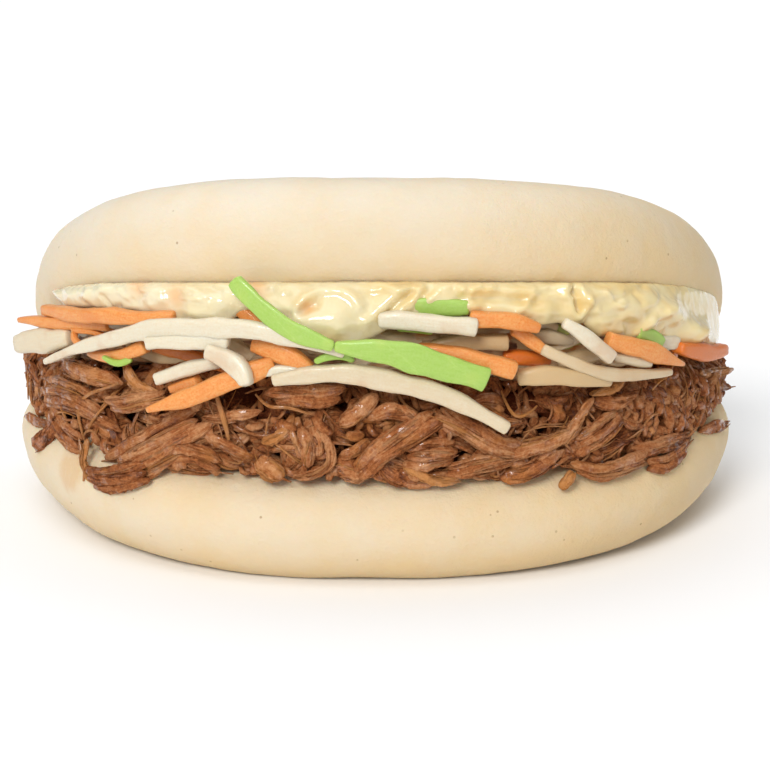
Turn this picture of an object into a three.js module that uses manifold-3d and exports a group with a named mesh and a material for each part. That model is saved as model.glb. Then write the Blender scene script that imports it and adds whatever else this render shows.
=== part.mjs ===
// Gua bao: a steamed bun folded once over pulled meat, a slaw of carrot, radish and cabbage, and mayonnaise.
//
// Millimetres, +Z up. The fold runs along X at the back, the mouth opens towards -Y, and the origin is on the
// resting face, under the middle of the bun. The meat and the slaw are heaps: a core with the strands or shreds
// that show fused on. Every piece keeps a small gap to its neighbours.
import * as THREE from "three";
import { mergeVertices } from "three/addons/utils/BufferGeometryUtils.js";
import Module from "manifold-3d";

const wasm = await Module();
wasm.setup();

// --- Driving dimensions ---------------------------------------------------------------------------------

const GAP = 0.3; // between neighbouring pieces
const DEGREE = Math.PI / 180;

const BUN = {
  thickness: 16.5, // of each half
  reach: 70, // along the dough, from the back of the fold to either lip
  bottomHalfWidth: 56.7,
  foldHalfWidth: 54.2,
  lidHalfWidth: 53.8,
  outlinePower: 2.4, // of the superellipse that the flat dough is rolled to
  foldRadius: 13, // of the middle of the dough
  foldY: 13.5, // centre of the fold's bend
  lidTiltAtFold: 29 * DEGREE,
  lidTiltAtLip: 10 * DEGREE,
  lidShift: 0.7, // the lid sits a little to the right
  lidDrop: 2.6, // its two ends hang this much lower than its middle
  lidCrown: 1.0,
  bottomLift: 2.2, // the two ends of the bottom half curl up off the table
  restPress: 0.4, // how far the resting face is pressed flat
  stations: 28,
  ring: 44,
};

const MEAT = {
  halfWidth: 52.8,
  setback: 2.6, // of the core behind the bottom lip
  bottom: 13.5,
  topAtMiddle: 24.6, // height of its top at y = 0
  topSlope: -0.14, // per millimetre towards the fold
  swell: 0.6,
  strands: 33,
  strandLowest: 17.2,
  strandBelowTop: 1.2,
  strandLength: [14, 28],
  strandWidth: [2.2, 4.4],
  strandDepth: [2, 3.2],
  strandOut: [0.8, 2],
  strandSlant: 0.7,
  farthestTurn: 68 * DEGREE, // round the mouth from its middle
  endTurn: 80 * DEGREE, // that no strand passes
  seed: 11,
};

// The lump of meat that hangs over the bottom lip.
const LUMP = { centre: [-40, -18.5, 17.8], half: [7.5, 4, 4.6] };

const SLAW = {
  halfWidth: 51.5,
  setback: 3.4,
  topAtMiddle: 31.4,
  topSlope: -0.24,
  swell: 0.4,
  seed: 5,
};

const SAUCE = {
  halfWidth: 51,
  setback: 1.8,
  depth: 8, // before the lid trims it
};

// Where the sauce droops over the slaw and swells out of the mouth.
const DROOPS = [
  { x: -37, half: 8, sag: 1.2, out: 0.8 },
  { x: -21.5, half: 4.5, sag: 2.6, out: 1.6 },
  { x: -4.5, half: 6.5, sag: 5.6, out: 3.4 },
  { x: 9, half: 7, sag: 1.4, out: 1.6 },
  { x: 24, half: 6.5, sag: 2.2, out: 1.6 },
  { x: 36.5, half: 6.5, sag: 4.2, out: 2.8 },
  { x: 48, half: 4.5, sag: 4.4, out: 3.2 },
];

// The shreds that show, each from one end to the other with its middle moved by bow. wide is the side that
// faces out of the mouth, deep is the other, and tips are the shares of the width left at the two ends.
const CARROT = [
  { from: [-49.5, -8, 35], to: [-28, -29.5, 38.3], bow: [0, -4, 0.3], wide: 2.7, deep: 2.6, tips: [0.6, 0.8] },
  { from: [-54, -3, 32], to: [-38, -20, 34.6], bow: [0, -1, 0.2], wide: 2.3, deep: 2.4, tips: [0.3, 0.8] },
  { from: [-43.5, -16, 31.5], to: [-33, -26, 33], bow: [0, -1.5, -0.6], wide: 2.8, deep: 2.4, tips: [0.7, 0.8] },
  { from: [-21, -31.5, 41], to: [-16.5, -33, 38.4], bow: [0, 0, 0], wide: 2.4, deep: 2.4, tips: [0.8, 0.8] },
  { from: [-17.5, -33.5, 36], to: [-8, -36, 32], bow: [0, -0.5, 0.3], wide: 3.6, deep: 2.4, tips: [0.6, 0.8] },
  { from: [-33, -31, 25], to: [-13, -35, 34], bow: [0, -2, 0.2], wide: 3.5, deep: 2.8, tips: [0.35, 0.9] },
  { from: [14, -35, 40.2], to: [24.5, -33.5, 37.6], bow: [0, -0.6, 0.4], wide: 3.2, deep: 2.6, tips: [0.9, 0.6] },
  { from: [18, -32, 37.4], to: [25.8, -31.5, 34.2], bow: [0, 0, 0], wide: 2.8, deep: 2.4, tips: [0.8, 0.8] },
  { from: [5.5, -35.5, 36.4], to: [20.3, -35.8, 31.9], bow: [0, -0.8, 0.3], wide: 3.7, deep: 2.8, tips: [0.45, 0.9] },
  { from: [17, -31, 33.4], to: [28, -28, 32.4], bow: [0, -0.5, 0], wide: 2.8, deep: 2.4, tips: [0.8, 0.8] },
  { from: [32.5, -27.5, 35], to: [45, -17.5, 28.8], bow: [0, -1.6, 0.5], wide: 3.4, deep: 2.6, tips: [0.8, 0.55] },
  { from: [44, -14.5, 30.6], to: [53, -1, 26.4], bow: [0, -1, -0.4], wide: 2.8, deep: 2.8, tips: [0.8, 0.8] },
  { from: [-29.5, -29, 29], to: [-22.5, -31.6, 31], bow: [0, 0, 0], wide: 2.2, deep: 2.4, tips: [0.9, 0.9] },
];

const RADISH = [
  { from: [-54.5, -2, 27.8], to: [-42, -14.5, 30.4], bow: [0, -1, 0.4], wide: 3.8, deep: 2.8, tips: [0.8, 0.9] },
  { from: [-48.8, -12, 27], to: [-4.5, -37.4, 35], bow: [0, -8, 6.4], wide: 3.2, deep: 1.8, tips: [0.6, 0.5] },
  { from: [-32.5, -29.5, 34.4], to: [-17.5, -35, 36], bow: [0, -0.6, 0.3], wide: 2.7, deep: 2.4, tips: [0.9, 0.9] },
  { from: [-22.5, -35, 35.4], to: [-17.6, -38.2, 29.6], bow: [0.4, 0, 0.6], wide: 3.6, deep: 2.4, tips: [0.7, 0.8] },
  { from: [-31.5, -29.6, 28.8], to: [-19, -32.6, 33], bow: [0, -0.6, 0.3], wide: 3, deep: 2.4, tips: [0.9, 0.8] },
  { from: [-16.5, -36, 32], to: [18.6, -37.4, 24.6], bow: [0, -1.2, 3.6], wide: 3.8, deep: 2.2, tips: [0.7, 0.7] },
  { from: [-0.5, -36, 39.8], to: [14.5, -36.2, 39], bow: [0, -0.4, 0.3], wide: 3.1, deep: 2.4, tips: [0.8, 0.9] },
  { from: [26.5, -32.5, 38.6], to: [34.6, -30, 32.4], bow: [0, -0.5, 0.5], wide: 3, deep: 2.4, tips: [0.8, 0.9] },
  { from: [23.5, -32, 35], to: [43.2, -19.4, 26.8], bow: [0, -3.4, -1], wide: 2.7, deep: 2.2, tips: [0.8, 0.6] },
  { from: [17.5, -32.5, 31.2], to: [33.4, -27.6, 28.2], bow: [0, -1.6, 0.6], wide: 3.5, deep: 2.4, tips: [0.8, 0.6] },
  { from: [4.5, -32.6, 36.6], to: [17, -32, 36.2], bow: [0, -0.4, 0.2], wide: 2.8, deep: 2.4, tips: [0.5, 0.9] },
];

const CABBAGE = [
  { from: [-20.8, -33.8, 46], to: [-8, -38.4, 35.6], bow: [-1.4, 0.2, -1], wide: 3.6, deep: 1.3, tips: [0.7, 0.5] },
  { from: [-7, -39, 36], to: [16.4, -38.2, 30.6], bow: [0, -1, 0.9], wide: 4.6, deep: 1.3, tips: [0.2, 0.8] },
  { from: [2.5, -34.2, 41.6], to: [13.6, -34.2, 41.6], bow: [0, 0, 0], wide: 2.6, deep: 1.4, tips: [0.8, 0.8] },
  { from: [-10.5, -36.8, 34.6], to: [-2, -37, 35], bow: [0, 0, 1.1], wide: 1.4, deep: 1.4, tips: [0.8, 0.8] },
  { from: [37.5, -22, 35.6], to: [43.4, -18, 32.6], bow: [0, 0, 0.3], wide: 2.6, deep: 1.6, tips: [0.8, 0.8] },
];

const COLOUR = { bun: 0xf0dfc0, meat: 0x7a4a2e, slaw: 0xe9cf9a, sauce: 0xf5efc0 };

// --- Helpers --------------------------------------------------------------------------------------------

const clamp = THREE.MathUtils.clamp;
const lerp = THREE.MathUtils.lerp;
const signedPower = (value, power) => Math.sign(value) * Math.abs(value) ** power;

// Numbers between 0 and 1 that are the same on every run.
function seededRandom(seed) {
  let state = seed;
  return () => {
    state = (state * 16807) % 2147483647;
    return state / 2147483647;
  };
}

// A closed geometry as a solid that can be cut and joined.
function solidOf(geometry) {
  const bare = geometry.clone();
  bare.deleteAttribute("normal");
  bare.deleteAttribute("uv");
  const merged = mergeVertices(bare, 1e-4);
  const vertProperties = merged.getAttribute("position").array;
  const triVerts = new Uint32Array(merged.index.array);
  return new wasm.Manifold(new wasm.Mesh({ numProp: 3, vertProperties, triVerts }));
}

function geometryOf(solid) {
  const { vertProperties, triVerts } = solid.getMesh();
  const geometry = new THREE.BufferGeometry();
  geometry.setAttribute("position", new THREE.BufferAttribute(vertProperties, 3));
  geometry.setIndex(new THREE.BufferAttribute(triVerts, 1));
  geometry.computeVertexNormals();
  return geometry;
}

const joined = (solids) => solids.reduce((sum, solid) => sum.add(solid));

// The largest of the bodies that a cut leaves, without its scraps.
function mainBody(solid) {
  return solid.decompose().reduce((best, body) => (body.volume() > best.volume() ? body : best));
}

// A closed skin of rings between a pole at u = -1 and a pole at u = 1. point(u, turn) gives the ring's point
// at turn, from 0 to 1.
function loft(point, stations, ring) {
  const positions = [point(-1, 0)];
  for (let i = 1; i < stations; i++) {
    const u = -Math.cos((Math.PI * i) / stations);
    for (let k = 0; k < ring; k++) positions.push(point(u, k / ring));
  }
  positions.push(point(1, 0));

  const index = [];
  const at = (i, k) => 1 + (i - 1) * ring + (k % ring);
  const last = positions.length - 1;
  for (let k = 0; k < ring; k++) {
    index.push(0, at(1, k + 1), at(1, k));
    for (let i = 1; i < stations - 1; i++) {
      index.push(at(i, k), at(i, k + 1), at(i + 1, k));
      index.push(at(i, k + 1), at(i + 1, k + 1), at(i + 1, k));
    }
    index.push(last, at(stations - 1, k), at(stations - 1, k + 1));
  }
  const geometry = new THREE.BufferGeometry();
  geometry.setAttribute("position", new THREE.Float32BufferAttribute(positions.flat(), 3));
  geometry.setIndex(index);
  return solidOf(geometry);
}

// --- The bun --------------------------------------------------------------------------------------------

const QUARTER_BEND = (BUN.foldRadius * Math.PI) / 2;
const LID_START = BUN.foldRadius * (Math.PI / 2 - BUN.lidTiltAtFold);
const LID_BEND = (BUN.lidTiltAtFold - BUN.lidTiltAtLip) / (BUN.reach - LID_START); // radians per millimetre
const PLAN_BACK_Y = BUN.foldY + QUARTER_BEND; // centre of the bottom half's outline
const DOUGH_MIDDLE_Z = BUN.thickness / 2 - BUN.restPress;

// How much of the reach is left at a share u of the half width.
const reachShare = (u) => (1 - Math.min(1, Math.abs(u)) ** BUN.outlinePower) ** (1 / BUN.outlinePower);

// The bottom lip's line seen from above, inset towards the fold.
const lipY = (x, inset) => PLAN_BACK_Y - (BUN.reach - inset) * reachShare(x / (BUN.bottomHalfWidth - inset));

// The middle of the dough at arc length s from the back of the fold, under the filling where s is negative and
// over it where s is positive. turn is the angle of its outward normal from +Y.
function foldedDough(s) {
  if (s < -QUARTER_BEND) return { y: PLAN_BACK_Y + s, z: DOUGH_MIDDLE_Z, turn: -Math.PI / 2 };
  const bend = Math.min(s, LID_START) / BUN.foldRadius;
  const y = BUN.foldY + BUN.foldRadius * Math.cos(bend);
  const z = DOUGH_MIDDLE_Z + BUN.foldRadius * (1 + Math.sin(bend));
  if (s <= LID_START) return { y, z, turn: bend };
  const tilt = BUN.lidTiltAtFold - LID_BEND * (s - LID_START);
  return {
    y: y - (Math.sin(BUN.lidTiltAtFold) - Math.sin(tilt)) / LID_BEND,
    z: z + (Math.cos(tilt) - Math.cos(BUN.lidTiltAtFold)) / LID_BEND,
    turn: Math.PI / 2 - tilt,
  };
}

// 1 in the middle of the flat dough and 0 at its rim, and the distance to the rim in millimetres.
function doughRim(x, s, halfWidth, reach) {
  const n = BUN.outlinePower;
  const fill = ((Math.abs(x) / halfWidth) ** n + (Math.abs(s) / reach) ** n) ** (1 / n);
  if (fill < 0.05) return { centre: 1, inset: halfWidth };
  const slopeX = (fill ** (1 - n) * Math.abs(x) ** (n - 1)) / halfWidth ** n;
  const slopeS = (fill ** (1 - n) * Math.abs(s) ** (n - 1)) / reach ** n;
  return { centre: 1 - fill, inset: Math.max(0, 1 - fill) / Math.hypot(slopeX, slopeS) };
}

// Shares of the reach from the fold, 0, to the lip, 1, closer together round the bend and round the lip.
function alongReach(t) {
  const bendEnd = 0.28;
  const noseStart = 0.88;
  if (t < 1 / 3) return bendEnd * 3 * t;
  if (t < 2 / 3) return lerp(bendEnd, noseStart, 3 * t - 1);
  return noseStart + (1 - noseStart) * Math.sin(((3 * t - 2) * Math.PI) / 2);
}

// A point of the bun's skin. The ring runs over the outside from the bottom lip round the fold to the lid's
// lip, and back along the inside. grow makes the bun that much larger all over.
function bunPoint(u, turn, grow) {
  const outside = turn < 0.5;
  const arm = outside ? 4 * turn - 1 : 3 - 4 * turn;
  const reach = BUN.reach + grow;
  const s = Math.sign(arm) * alongReach(Math.abs(arm)) * reach * reachShare(u);
  const { y, z, turn: normal } = foldedDough(s);
  const inBottom = clamp(-s / QUARTER_BEND, 0, 1);
  const inLid = clamp(s / QUARTER_BEND, 0, 1);
  const bottomWider = inBottom * (BUN.bottomHalfWidth - BUN.foldHalfWidth);
  const lidNarrower = inLid * (BUN.foldHalfWidth - BUN.lidHalfWidth);

  const { centre, inset } = doughRim(u * BUN.bottomHalfWidth, s, BUN.bottomHalfWidth, reach);
  const nose = BUN.thickness / 2 + grow;
  const rounding = clamp(1 - inset / nose, 0, 1);
  const crown = outside ? BUN.lidCrown * inLid * (1 - (1 - centre) ** 2) : 0;
  const half = nose * Math.sqrt(1 - rounding ** 2) + crown;

  const side = outside ? 1 : -1;
  const level = z + BUN.bottomLift * inBottom * Math.abs(u) ** 3 - BUN.lidDrop * inLid * u ** 2;
  return [
    u * (BUN.foldHalfWidth + bottomWider - lidNarrower + grow) + BUN.lidShift * inLid,
    y + side * half * Math.cos(normal),
    Math.max(-grow, level + side * half * Math.sin(normal)),
  ];
}

const bunSkin = (grow) => loft((u, turn) => bunPoint(u, turn, grow), BUN.stations, BUN.ring);

// --- Heaps in the mouth ---------------------------------------------------------------------------------

const meatTop = (x, y) => {
  const leftRise = 2.2 * Math.exp(-(((x + 27) / 9) ** 2));
  return MEAT.topAtMiddle + MEAT.topSlope * y + leftRise + 0.5 * Math.sin(x / 5);
};
const slawTop = (x, y) => SLAW.topAtMiddle + SLAW.topSlope * y + 0.4 * Math.sin(x / 6 + 1);

// A layer that runs from the fold to the mouth between two heights. Its section is a rounded square, and
// front(x) is added to how far its face stands out of the mouth.
function layer({ halfWidth, setback, bottom, top, front }, stations, ring) {
  const back = BUN.foldY + BUN.foldRadius / 2;
  const squareness = 0.5;
  const endRounding = 8;
  return loft((u, turn) => {
    const x = u * halfWidth;
    const face = Math.min(back - 1, lipY(x, setback));
    const forward = signedPower(Math.cos(2 * Math.PI * turn), squareness);
    const up = -signedPower(Math.sin(2 * Math.PI * turn), squareness);
    const y = lerp(back, face, (1 + forward) / 2);
    const middle = (bottom(x, y) + top(x, y)) / 2;
    const half = ((top(x, y) - bottom(x, y)) / 2) * Math.max(0.02, 1.02 - u ** endRounding);
    const z = middle + up * half;
    return [x, y - clamp(forward, 0, 1) ** 4 * front(x, z), z];
  }, stations, ring);
}

// The uneven face of a heap.
const lumpy = (swell) => (x, z) => swell * (Math.sin(x / 4.3 + z / 3) + Math.sin(x / 2.9 - z / 2));

// Straight out of the heap, seen from above.
const outOfHeap = (point) => new THREE.Vector3(point.x, point.y - PLAN_BACK_Y, 0).normalize();

// A strip along path(t), t from 0 to 1. wide(t) is its size across the way it faces, deep(t) its thickness.
function strip({ path, wide, deep, segments }) {
  const box = new THREE.BoxGeometry(1, 1, 1, segments, 1, 1);
  const position = box.getAttribute("position");
  for (let i = 0; i < position.count; i++) {
    const t = position.getX(i) + 0.5;
    const here = path(t);
    const along = path(t + 0.02).sub(path(t - 0.02)).normalize();
    const outward = outOfHeap(here);
    outward.addScaledVector(along, -outward.dot(along)).normalize();
    const across = new THREE.Vector3().crossVectors(outward, along);
    here.addScaledVector(across, position.getY(i) * wide(t));
    here.addScaledVector(outward, position.getZ(i) * deep(t));
    position.setXYZ(i, here.x, here.y, here.z);
  }
  return solidOf(box);
}

// The point at an angle round the front of the meat, outward of its core.
function meatRim(angle, outward) {
  const n = BUN.outlinePower;
  const across = Math.abs(Math.sin(angle)) / (BUN.bottomHalfWidth - MEAT.setback);
  const forward = Math.abs(Math.cos(angle)) / (BUN.reach - MEAT.setback);
  const radius = (across ** n + forward ** n) ** (-1 / n) + outward;
  return new THREE.Vector3(radius * Math.sin(angle), PLAN_BACK_Y - radius * Math.cos(angle), 0);
}

// A strand at an angle round the front of the meat, with its middle out of the heap and its ends tucked in.
// level is 0 at the bottom of the heap and 1 at its top.
function strand({ turn, level, rise, length, wide, deep, out }) {
  const step = 0.01;
  const speed = meatRim(turn + step, 0).distanceTo(meatRim(turn - step, 0)) / (2 * step);
  const span = Math.sqrt(length ** 2 - rise ** 2) / speed;
  const place = meatRim(turn, 0);
  const height = lerp(MEAT.strandLowest, meatTop(place.x, place.y) - MEAT.strandBelowTop, level);
  const arch = (t) => Math.sin(Math.PI * clamp(t, 0, 1));
  const turnAt = (t) => clamp(turn + (t - 0.5) * span, -MEAT.endTurn, MEAT.endTurn);
  const path = (t) => meatRim(turnAt(t), out * arch(t)).setZ(height + (t - 0.5) * rise);
  const taper = (t) => lerp(0.45, 1, arch(t));
  return strip({ path, wide: (t) => wide * taper(t), deep: (t) => deep * taper(t), segments: 4 });
}

// --- Slaw -----------------------------------------------------------------------------------------------

// One shred from its row in the lists above.
function shred({ from, to, bow, wide, deep, tips }, grow) {
  const start = new THREE.Vector3(...from);
  const end = new THREE.Vector3(...to);
  const middle = start.clone().add(end).multiplyScalar(0.5);
  const control = middle.clone().addScaledVector(new THREE.Vector3(...bow), 2);
  const curve = new THREE.QuadraticBezierCurve3(start, control, end);
  const stretch = grow / start.distanceTo(end);
  const share = (t) => lerp(t < 0.5 ? tips[0] : tips[1], 1, Math.sin(Math.PI * clamp(t, 0, 1)));
  return strip({
    path: (t) => curve.getPoint(lerp(-stretch, 1 + stretch, t)),
    wide: (t) => wide * share(t) + 2 * grow,
    deep: () => deep + 2 * grow,
    segments: 5,
  });
}

function slawHeap(grow) {
  const core = layer(
    {
      halfWidth: SLAW.halfWidth + grow,
      setback: SLAW.setback - grow,
      bottom: (x, y) => meatTop(x, y) - grow,
      top: (x, y) => slawTop(x, y) + grow,
      front: lumpy(SLAW.swell),
    },
    22,
    18,
  );
  const shreds = [...CARROT, ...RADISH, ...CABBAGE].map((row) => shred(row, grow));
  return joined([core, ...shreds]);
}

// --- Pulled meat ----------------------------------------------------------------------------------------

function meatHeap() {
  const random = seededRandom(MEAT.seed);
  const between = ([low, high]) => lerp(low, high, random());
  const core = layer(
    {
      halfWidth: MEAT.halfWidth,
      setback: MEAT.setback,
      bottom: () => MEAT.bottom,
      top: (x, y) => meatTop(x, y) + 1,
      front: lumpy(MEAT.swell),
    },
    26,
    20,
  );
  const lump = new THREE.SphereGeometry(1, 12, 8);
  lump.scale(...LUMP.half);
  lump.translate(...LUMP.centre);
  const pieces = [core, solidOf(lump)];
  for (let i = 0; i < MEAT.strands; i++) {
    const length = between(MEAT.strandLength);
    pieces.push(
      strand({
        turn: lerp(-MEAT.farthestTurn, MEAT.farthestTurn, (i + random()) / MEAT.strands),
        level: random(),
        rise: (random() - 0.5) * length * MEAT.strandSlant,
        length,
        wide: between(MEAT.strandWidth),
        deep: between(MEAT.strandDepth),
        out: between(MEAT.strandOut),
      }),
    );
  }
  return joined(pieces);
}

// --- Mayonnaise -----------------------------------------------------------------------------------------

// How much of a droop is felt at x, summed over all droops.
const droop = (x, size) => DROOPS.reduce((sum, d) => sum + d[size] * Math.exp(-(((x - d.x) / d.half) ** 2) * 1.5), 0);

function sauceLayer() {
  return layer(
    {
      halfWidth: SAUCE.halfWidth,
      setback: SAUCE.setback,
      bottom: (x, y) => slawTop(x, y) - (y < lipY(x, SAUCE.setback + 8) ? droop(x, "sag") : 0),
      top: (x, y) => slawTop(x, y) + SAUCE.depth,
      front: (x) => droop(x, "out"),
    },
    34,
    16,
  );
}

// --- The whole ------------------------------------------------------------------------------------------

const bunRoom = bunSkin(GAP);
const slawRoom = slawHeap(GAP);
const guaBao = new THREE.Group();

function place(name, solid, colour, roughness) {
  const material = new THREE.MeshStandardMaterial({ color: colour, roughness, metalness: 0 });
  const mesh = new THREE.Mesh(geometryOf(solid), material);
  mesh.name = name;
  guaBao.add(mesh);
}

place("bun", bunSkin(0), COLOUR.bun, 0.75);
place("pulled_meat", mainBody(meatHeap().subtract(bunRoom).subtract(slawRoom)), COLOUR.meat, 0.5);
place("slaw", mainBody(slawHeap(0).subtract(bunRoom)), COLOUR.slaw, 0.45);
place("mayonnaise", mainBody(sauceLayer().subtract(bunRoom).subtract(slawRoom)), COLOUR.sauce, 0.25);

export default guaBao;
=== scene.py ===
"""A gua bao: steamed dough, pulled meat, slaw and mayonnaise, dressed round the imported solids.

Shapes are worked out in millimetres and become metres as their meshes are made. +X runs along the fold, the
mouth opens towards -Y and +Z is up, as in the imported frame.
"""

from __future__ import annotations

import logging
import math
from collections.abc import Callable, Iterable
from dataclasses import dataclass, field, replace
from enum import Enum

import bpy
import numpy as np
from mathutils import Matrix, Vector
from mathutils.bvhtree import BVHTree


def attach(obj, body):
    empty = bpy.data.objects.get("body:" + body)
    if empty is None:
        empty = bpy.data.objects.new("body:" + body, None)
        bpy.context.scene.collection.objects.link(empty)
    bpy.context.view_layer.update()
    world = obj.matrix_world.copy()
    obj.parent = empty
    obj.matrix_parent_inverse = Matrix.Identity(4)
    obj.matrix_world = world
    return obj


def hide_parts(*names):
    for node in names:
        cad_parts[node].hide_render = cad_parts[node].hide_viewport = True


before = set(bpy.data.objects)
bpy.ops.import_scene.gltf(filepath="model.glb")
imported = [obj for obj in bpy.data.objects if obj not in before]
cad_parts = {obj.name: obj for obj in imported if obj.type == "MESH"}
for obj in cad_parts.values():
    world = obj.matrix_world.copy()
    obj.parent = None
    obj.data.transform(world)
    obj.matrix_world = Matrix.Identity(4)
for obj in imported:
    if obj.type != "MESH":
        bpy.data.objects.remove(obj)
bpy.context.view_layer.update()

log = logging.getLogger("gua_bao")
MILLIMETRE = 0.001
ROOT = "root"
Array = np.ndarray
Point = tuple[float, float, float]
Colour = tuple[float, float, float]

# Directions, the cores' gap to the dough in millimetres, and how finely routes are drawn
UP = np.array([0.0, 0.0, 1.0])
LEVEL = np.array([1.0, 1.0, 0.0])
CORE_GAP = 0.3
STRAND_GAP_SHARE = 0.4
ROUTE_STEPS = 40
FOLD_STEPS = 80


class Node(Enum):
    """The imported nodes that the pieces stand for, each with a material slot of the same name."""

    BUN = "bun"
    MEAT = "pulled_meat"
    SLAW = "slaw"
    SAUCE = "mayonnaise"


# --- Node graphs ---


@dataclass(frozen=True)
class Term:
    """A socket of a node graph that Python's operators can be used on."""

    graph: Graph
    socket: bpy.types.NodeSocket

    @property
    def is_vector(self) -> bool:
        """Whether the socket carries three numbers."""
        return self.socket.type in {"VECTOR", "RGBA"}

    def math(self, operation: str, *others: Term | float) -> Term:
        """Adds a Math node whose first value is this one."""
        return self.graph.add("ShaderNodeMath", {"operation": operation}, dict(enumerate([self, *others])))

    def vector_math(self, operation: str, *others: Term | Point, output: str = "Vector") -> Term:
        """Adds a Vector Math node whose first vector is this one."""
        inputs = dict(enumerate([self, *others]))
        return self.graph.add("ShaderNodeVectorMath", {"operation": operation}, inputs, output)

    def _join(self, operation: str, first: Term | float, second: Term | float) -> Term:
        """Adds the node for one operator, on vectors or on plain values.

        Args:
            operation: Name of the operation, the same for Math and Vector Math.
            first: The operator's left side.
            second: Its right side.

        Returns:
            The result.
        """
        pair = (first, second)
        vectors = [side for side in pair if isinstance(side, Term) and side.is_vector]
        if not vectors:
            return self.graph.add("ShaderNodeMath", {"operation": operation}, dict(enumerate(pair)))
        if operation == "MULTIPLY" and len(vectors) == 1:
            inputs = {0: vectors[0], "Scale": second if first is vectors[0] else first}
            return self.graph.add("ShaderNodeVectorMath", {"operation": "SCALE"}, inputs)
        spread = [side if isinstance(side, Term) else (side, side, side) for side in pair]
        return self.graph.add("ShaderNodeVectorMath", {"operation": operation}, dict(enumerate(spread)))

    def __add__(self, other: Term | float) -> Term:
        """This plus another."""
        return self._join("ADD", self, other)

    def __radd__(self, other: float) -> Term:
        """Another plus this."""
        return self._join("ADD", other, self)

    def __sub__(self, other: Term | float) -> Term:
        """This less another."""
        return self._join("SUBTRACT", self, other)

    def __rsub__(self, other: float) -> Term:
        """Another less this."""
        return self._join("SUBTRACT", other, self)

    def __mul__(self, other: Term | float) -> Term:
        """This times another."""
        return self._join("MULTIPLY", self, other)

    def __rmul__(self, other: float) -> Term:
        """Another times this."""
        return self._join("MULTIPLY", other, self)

    def __truediv__(self, other: Term | float) -> Term:
        """This over another."""
        return self._join("DIVIDE", self, other)

    def __rtruediv__(self, other: float) -> Term:
        """Another over this."""
        return self._join("DIVIDE", other, self)

    def __pow__(self, power: Term | float) -> Term:
        """This to a power."""
        return self._join("POWER", self, power)

    def between(self, low: float, high: float) -> Term:
        """0 below low, 1 above high and smooth in between."""
        inputs = {"Value": self, "From Min": low, "From Max": high}
        return self.graph.add("ShaderNodeMapRange", {"interpolation_type": "SMOOTHSTEP"}, inputs)


class Graph:
    """A node tree and the one way in which nodes are added to it."""

    def __init__(self, tree: bpy.types.NodeTree) -> None:
        """Starts on a tree."""
        self.tree = tree

    def node(self, kind: str, settings: dict | None = None, inputs: dict | None = None) -> bpy.types.Node:
        """Adds a node.

        Args:
            kind: The node's type.
            settings: Its properties, set before its sockets; "stops" are a ramp's positions and colours.
            inputs: Values or terms by socket name or number.

        Returns:
            The node.
        """
        node = self.tree.nodes.new(kind)
        for name, value in (settings or {}).items():
            if name == "stops":
                self._set_stops(node.color_ramp, value)
            else:
                setattr(node, name, value)
        for name, value in (inputs or {}).items():
            self._feed(node, name, value)
        return node

    def add(
        self, kind: str, settings: dict | None = None, inputs: dict | None = None, output: str = ""
    ) -> Term:
        """Adds a node and gives its output of a name, or its first one, as a term."""
        node = self.node(kind, settings, inputs)
        return Term(self, next(s for s in node.outputs if s.enabled and output in ("", s.name)))

    @staticmethod
    def _set_stops(ramp: bpy.types.ColorRamp, stops: list[tuple[float, Colour]]) -> None:
        """Gives a ramp its stops.

        Args:
            ramp: The ramp, with one or two stops.
            stops: Positions and colours, from low to high.
        """
        while len(ramp.elements) < len(stops):
            ramp.elements.new(0.5)
        for element, (position, colour) in zip(ramp.elements, stops, strict=True):
            element.position = position
            element.color = (*colour, 1.0)

    def _feed(self, node: bpy.types.Node, name: str | int, value: object) -> None:
        """Links or sets one input of a node.

        Args:
            node: The node.
            name: Name or number of its socket.
            value: A term to link, or a value to set.
        """
        by_name = (s for s in node.inputs if s.name == name and s.enabled)
        socket = node.inputs[name] if isinstance(name, int) else next(by_name)
        if isinstance(value, Term):
            self.tree.links.new(value.socket, socket)
        elif socket.type == "RGBA" and len(value) == 3:
            socket.default_value = (*value, 1.0)
        else:
            socket.default_value = value

    def vector(self, x: Term | float, y: Term | float, z: Term | float) -> Term:
        """A vector of three values."""
        return self.add("ShaderNodeCombineXYZ", None, {0: x, 1: y, 2: z})

    def part(self, vector: Term, axis: str) -> Term:
        """One of a vector's three values."""
        return self.add("ShaderNodeSeparateXYZ", None, {0: vector}, axis)

    def stored(self, name: str) -> Term:
        """A value that a material reads from the piece's points."""
        return self.add("ShaderNodeAttribute", {"attribute_name": name}, None, "Fac")

    def noise(self, place: Term, size: float, detail: float = 2.0, roughness: float = 0.5) -> Term:
        """Noise from 0 to 1.

        Args:
            place: Coordinates in metres.
            size: Size of its features in millimetres.
            detail: Number of finer layers.
            roughness: Strength of the finer layers.

        Returns:
            The value.
        """
        inputs = {"Vector": place, "Scale": 1 / (size * MILLIMETRE), "Detail": detail, "Roughness": roughness}
        return self.add("ShaderNodeTexNoise", None, inputs)

    def blend(self, factor: Term | float, first: Term | Colour, second: Term | Colour) -> Term:
        """Mixes two colours, the first at a factor of 0 and the second at 1."""
        settings = {"data_type": "RGBA", "blend_type": "MIX"}
        return self.add("ShaderNodeMix", settings, {"Factor": factor, "A": first, "B": second}, "Result")

    def ramp(self, value: Term, stops: list[tuple[float, Colour]]) -> Term:
        """A colour looked up by a value."""
        return self.add("ShaderNodeValToRGB", {"stops": stops}, {"Fac": value}, "Color")


# --- Finishes ---


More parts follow.
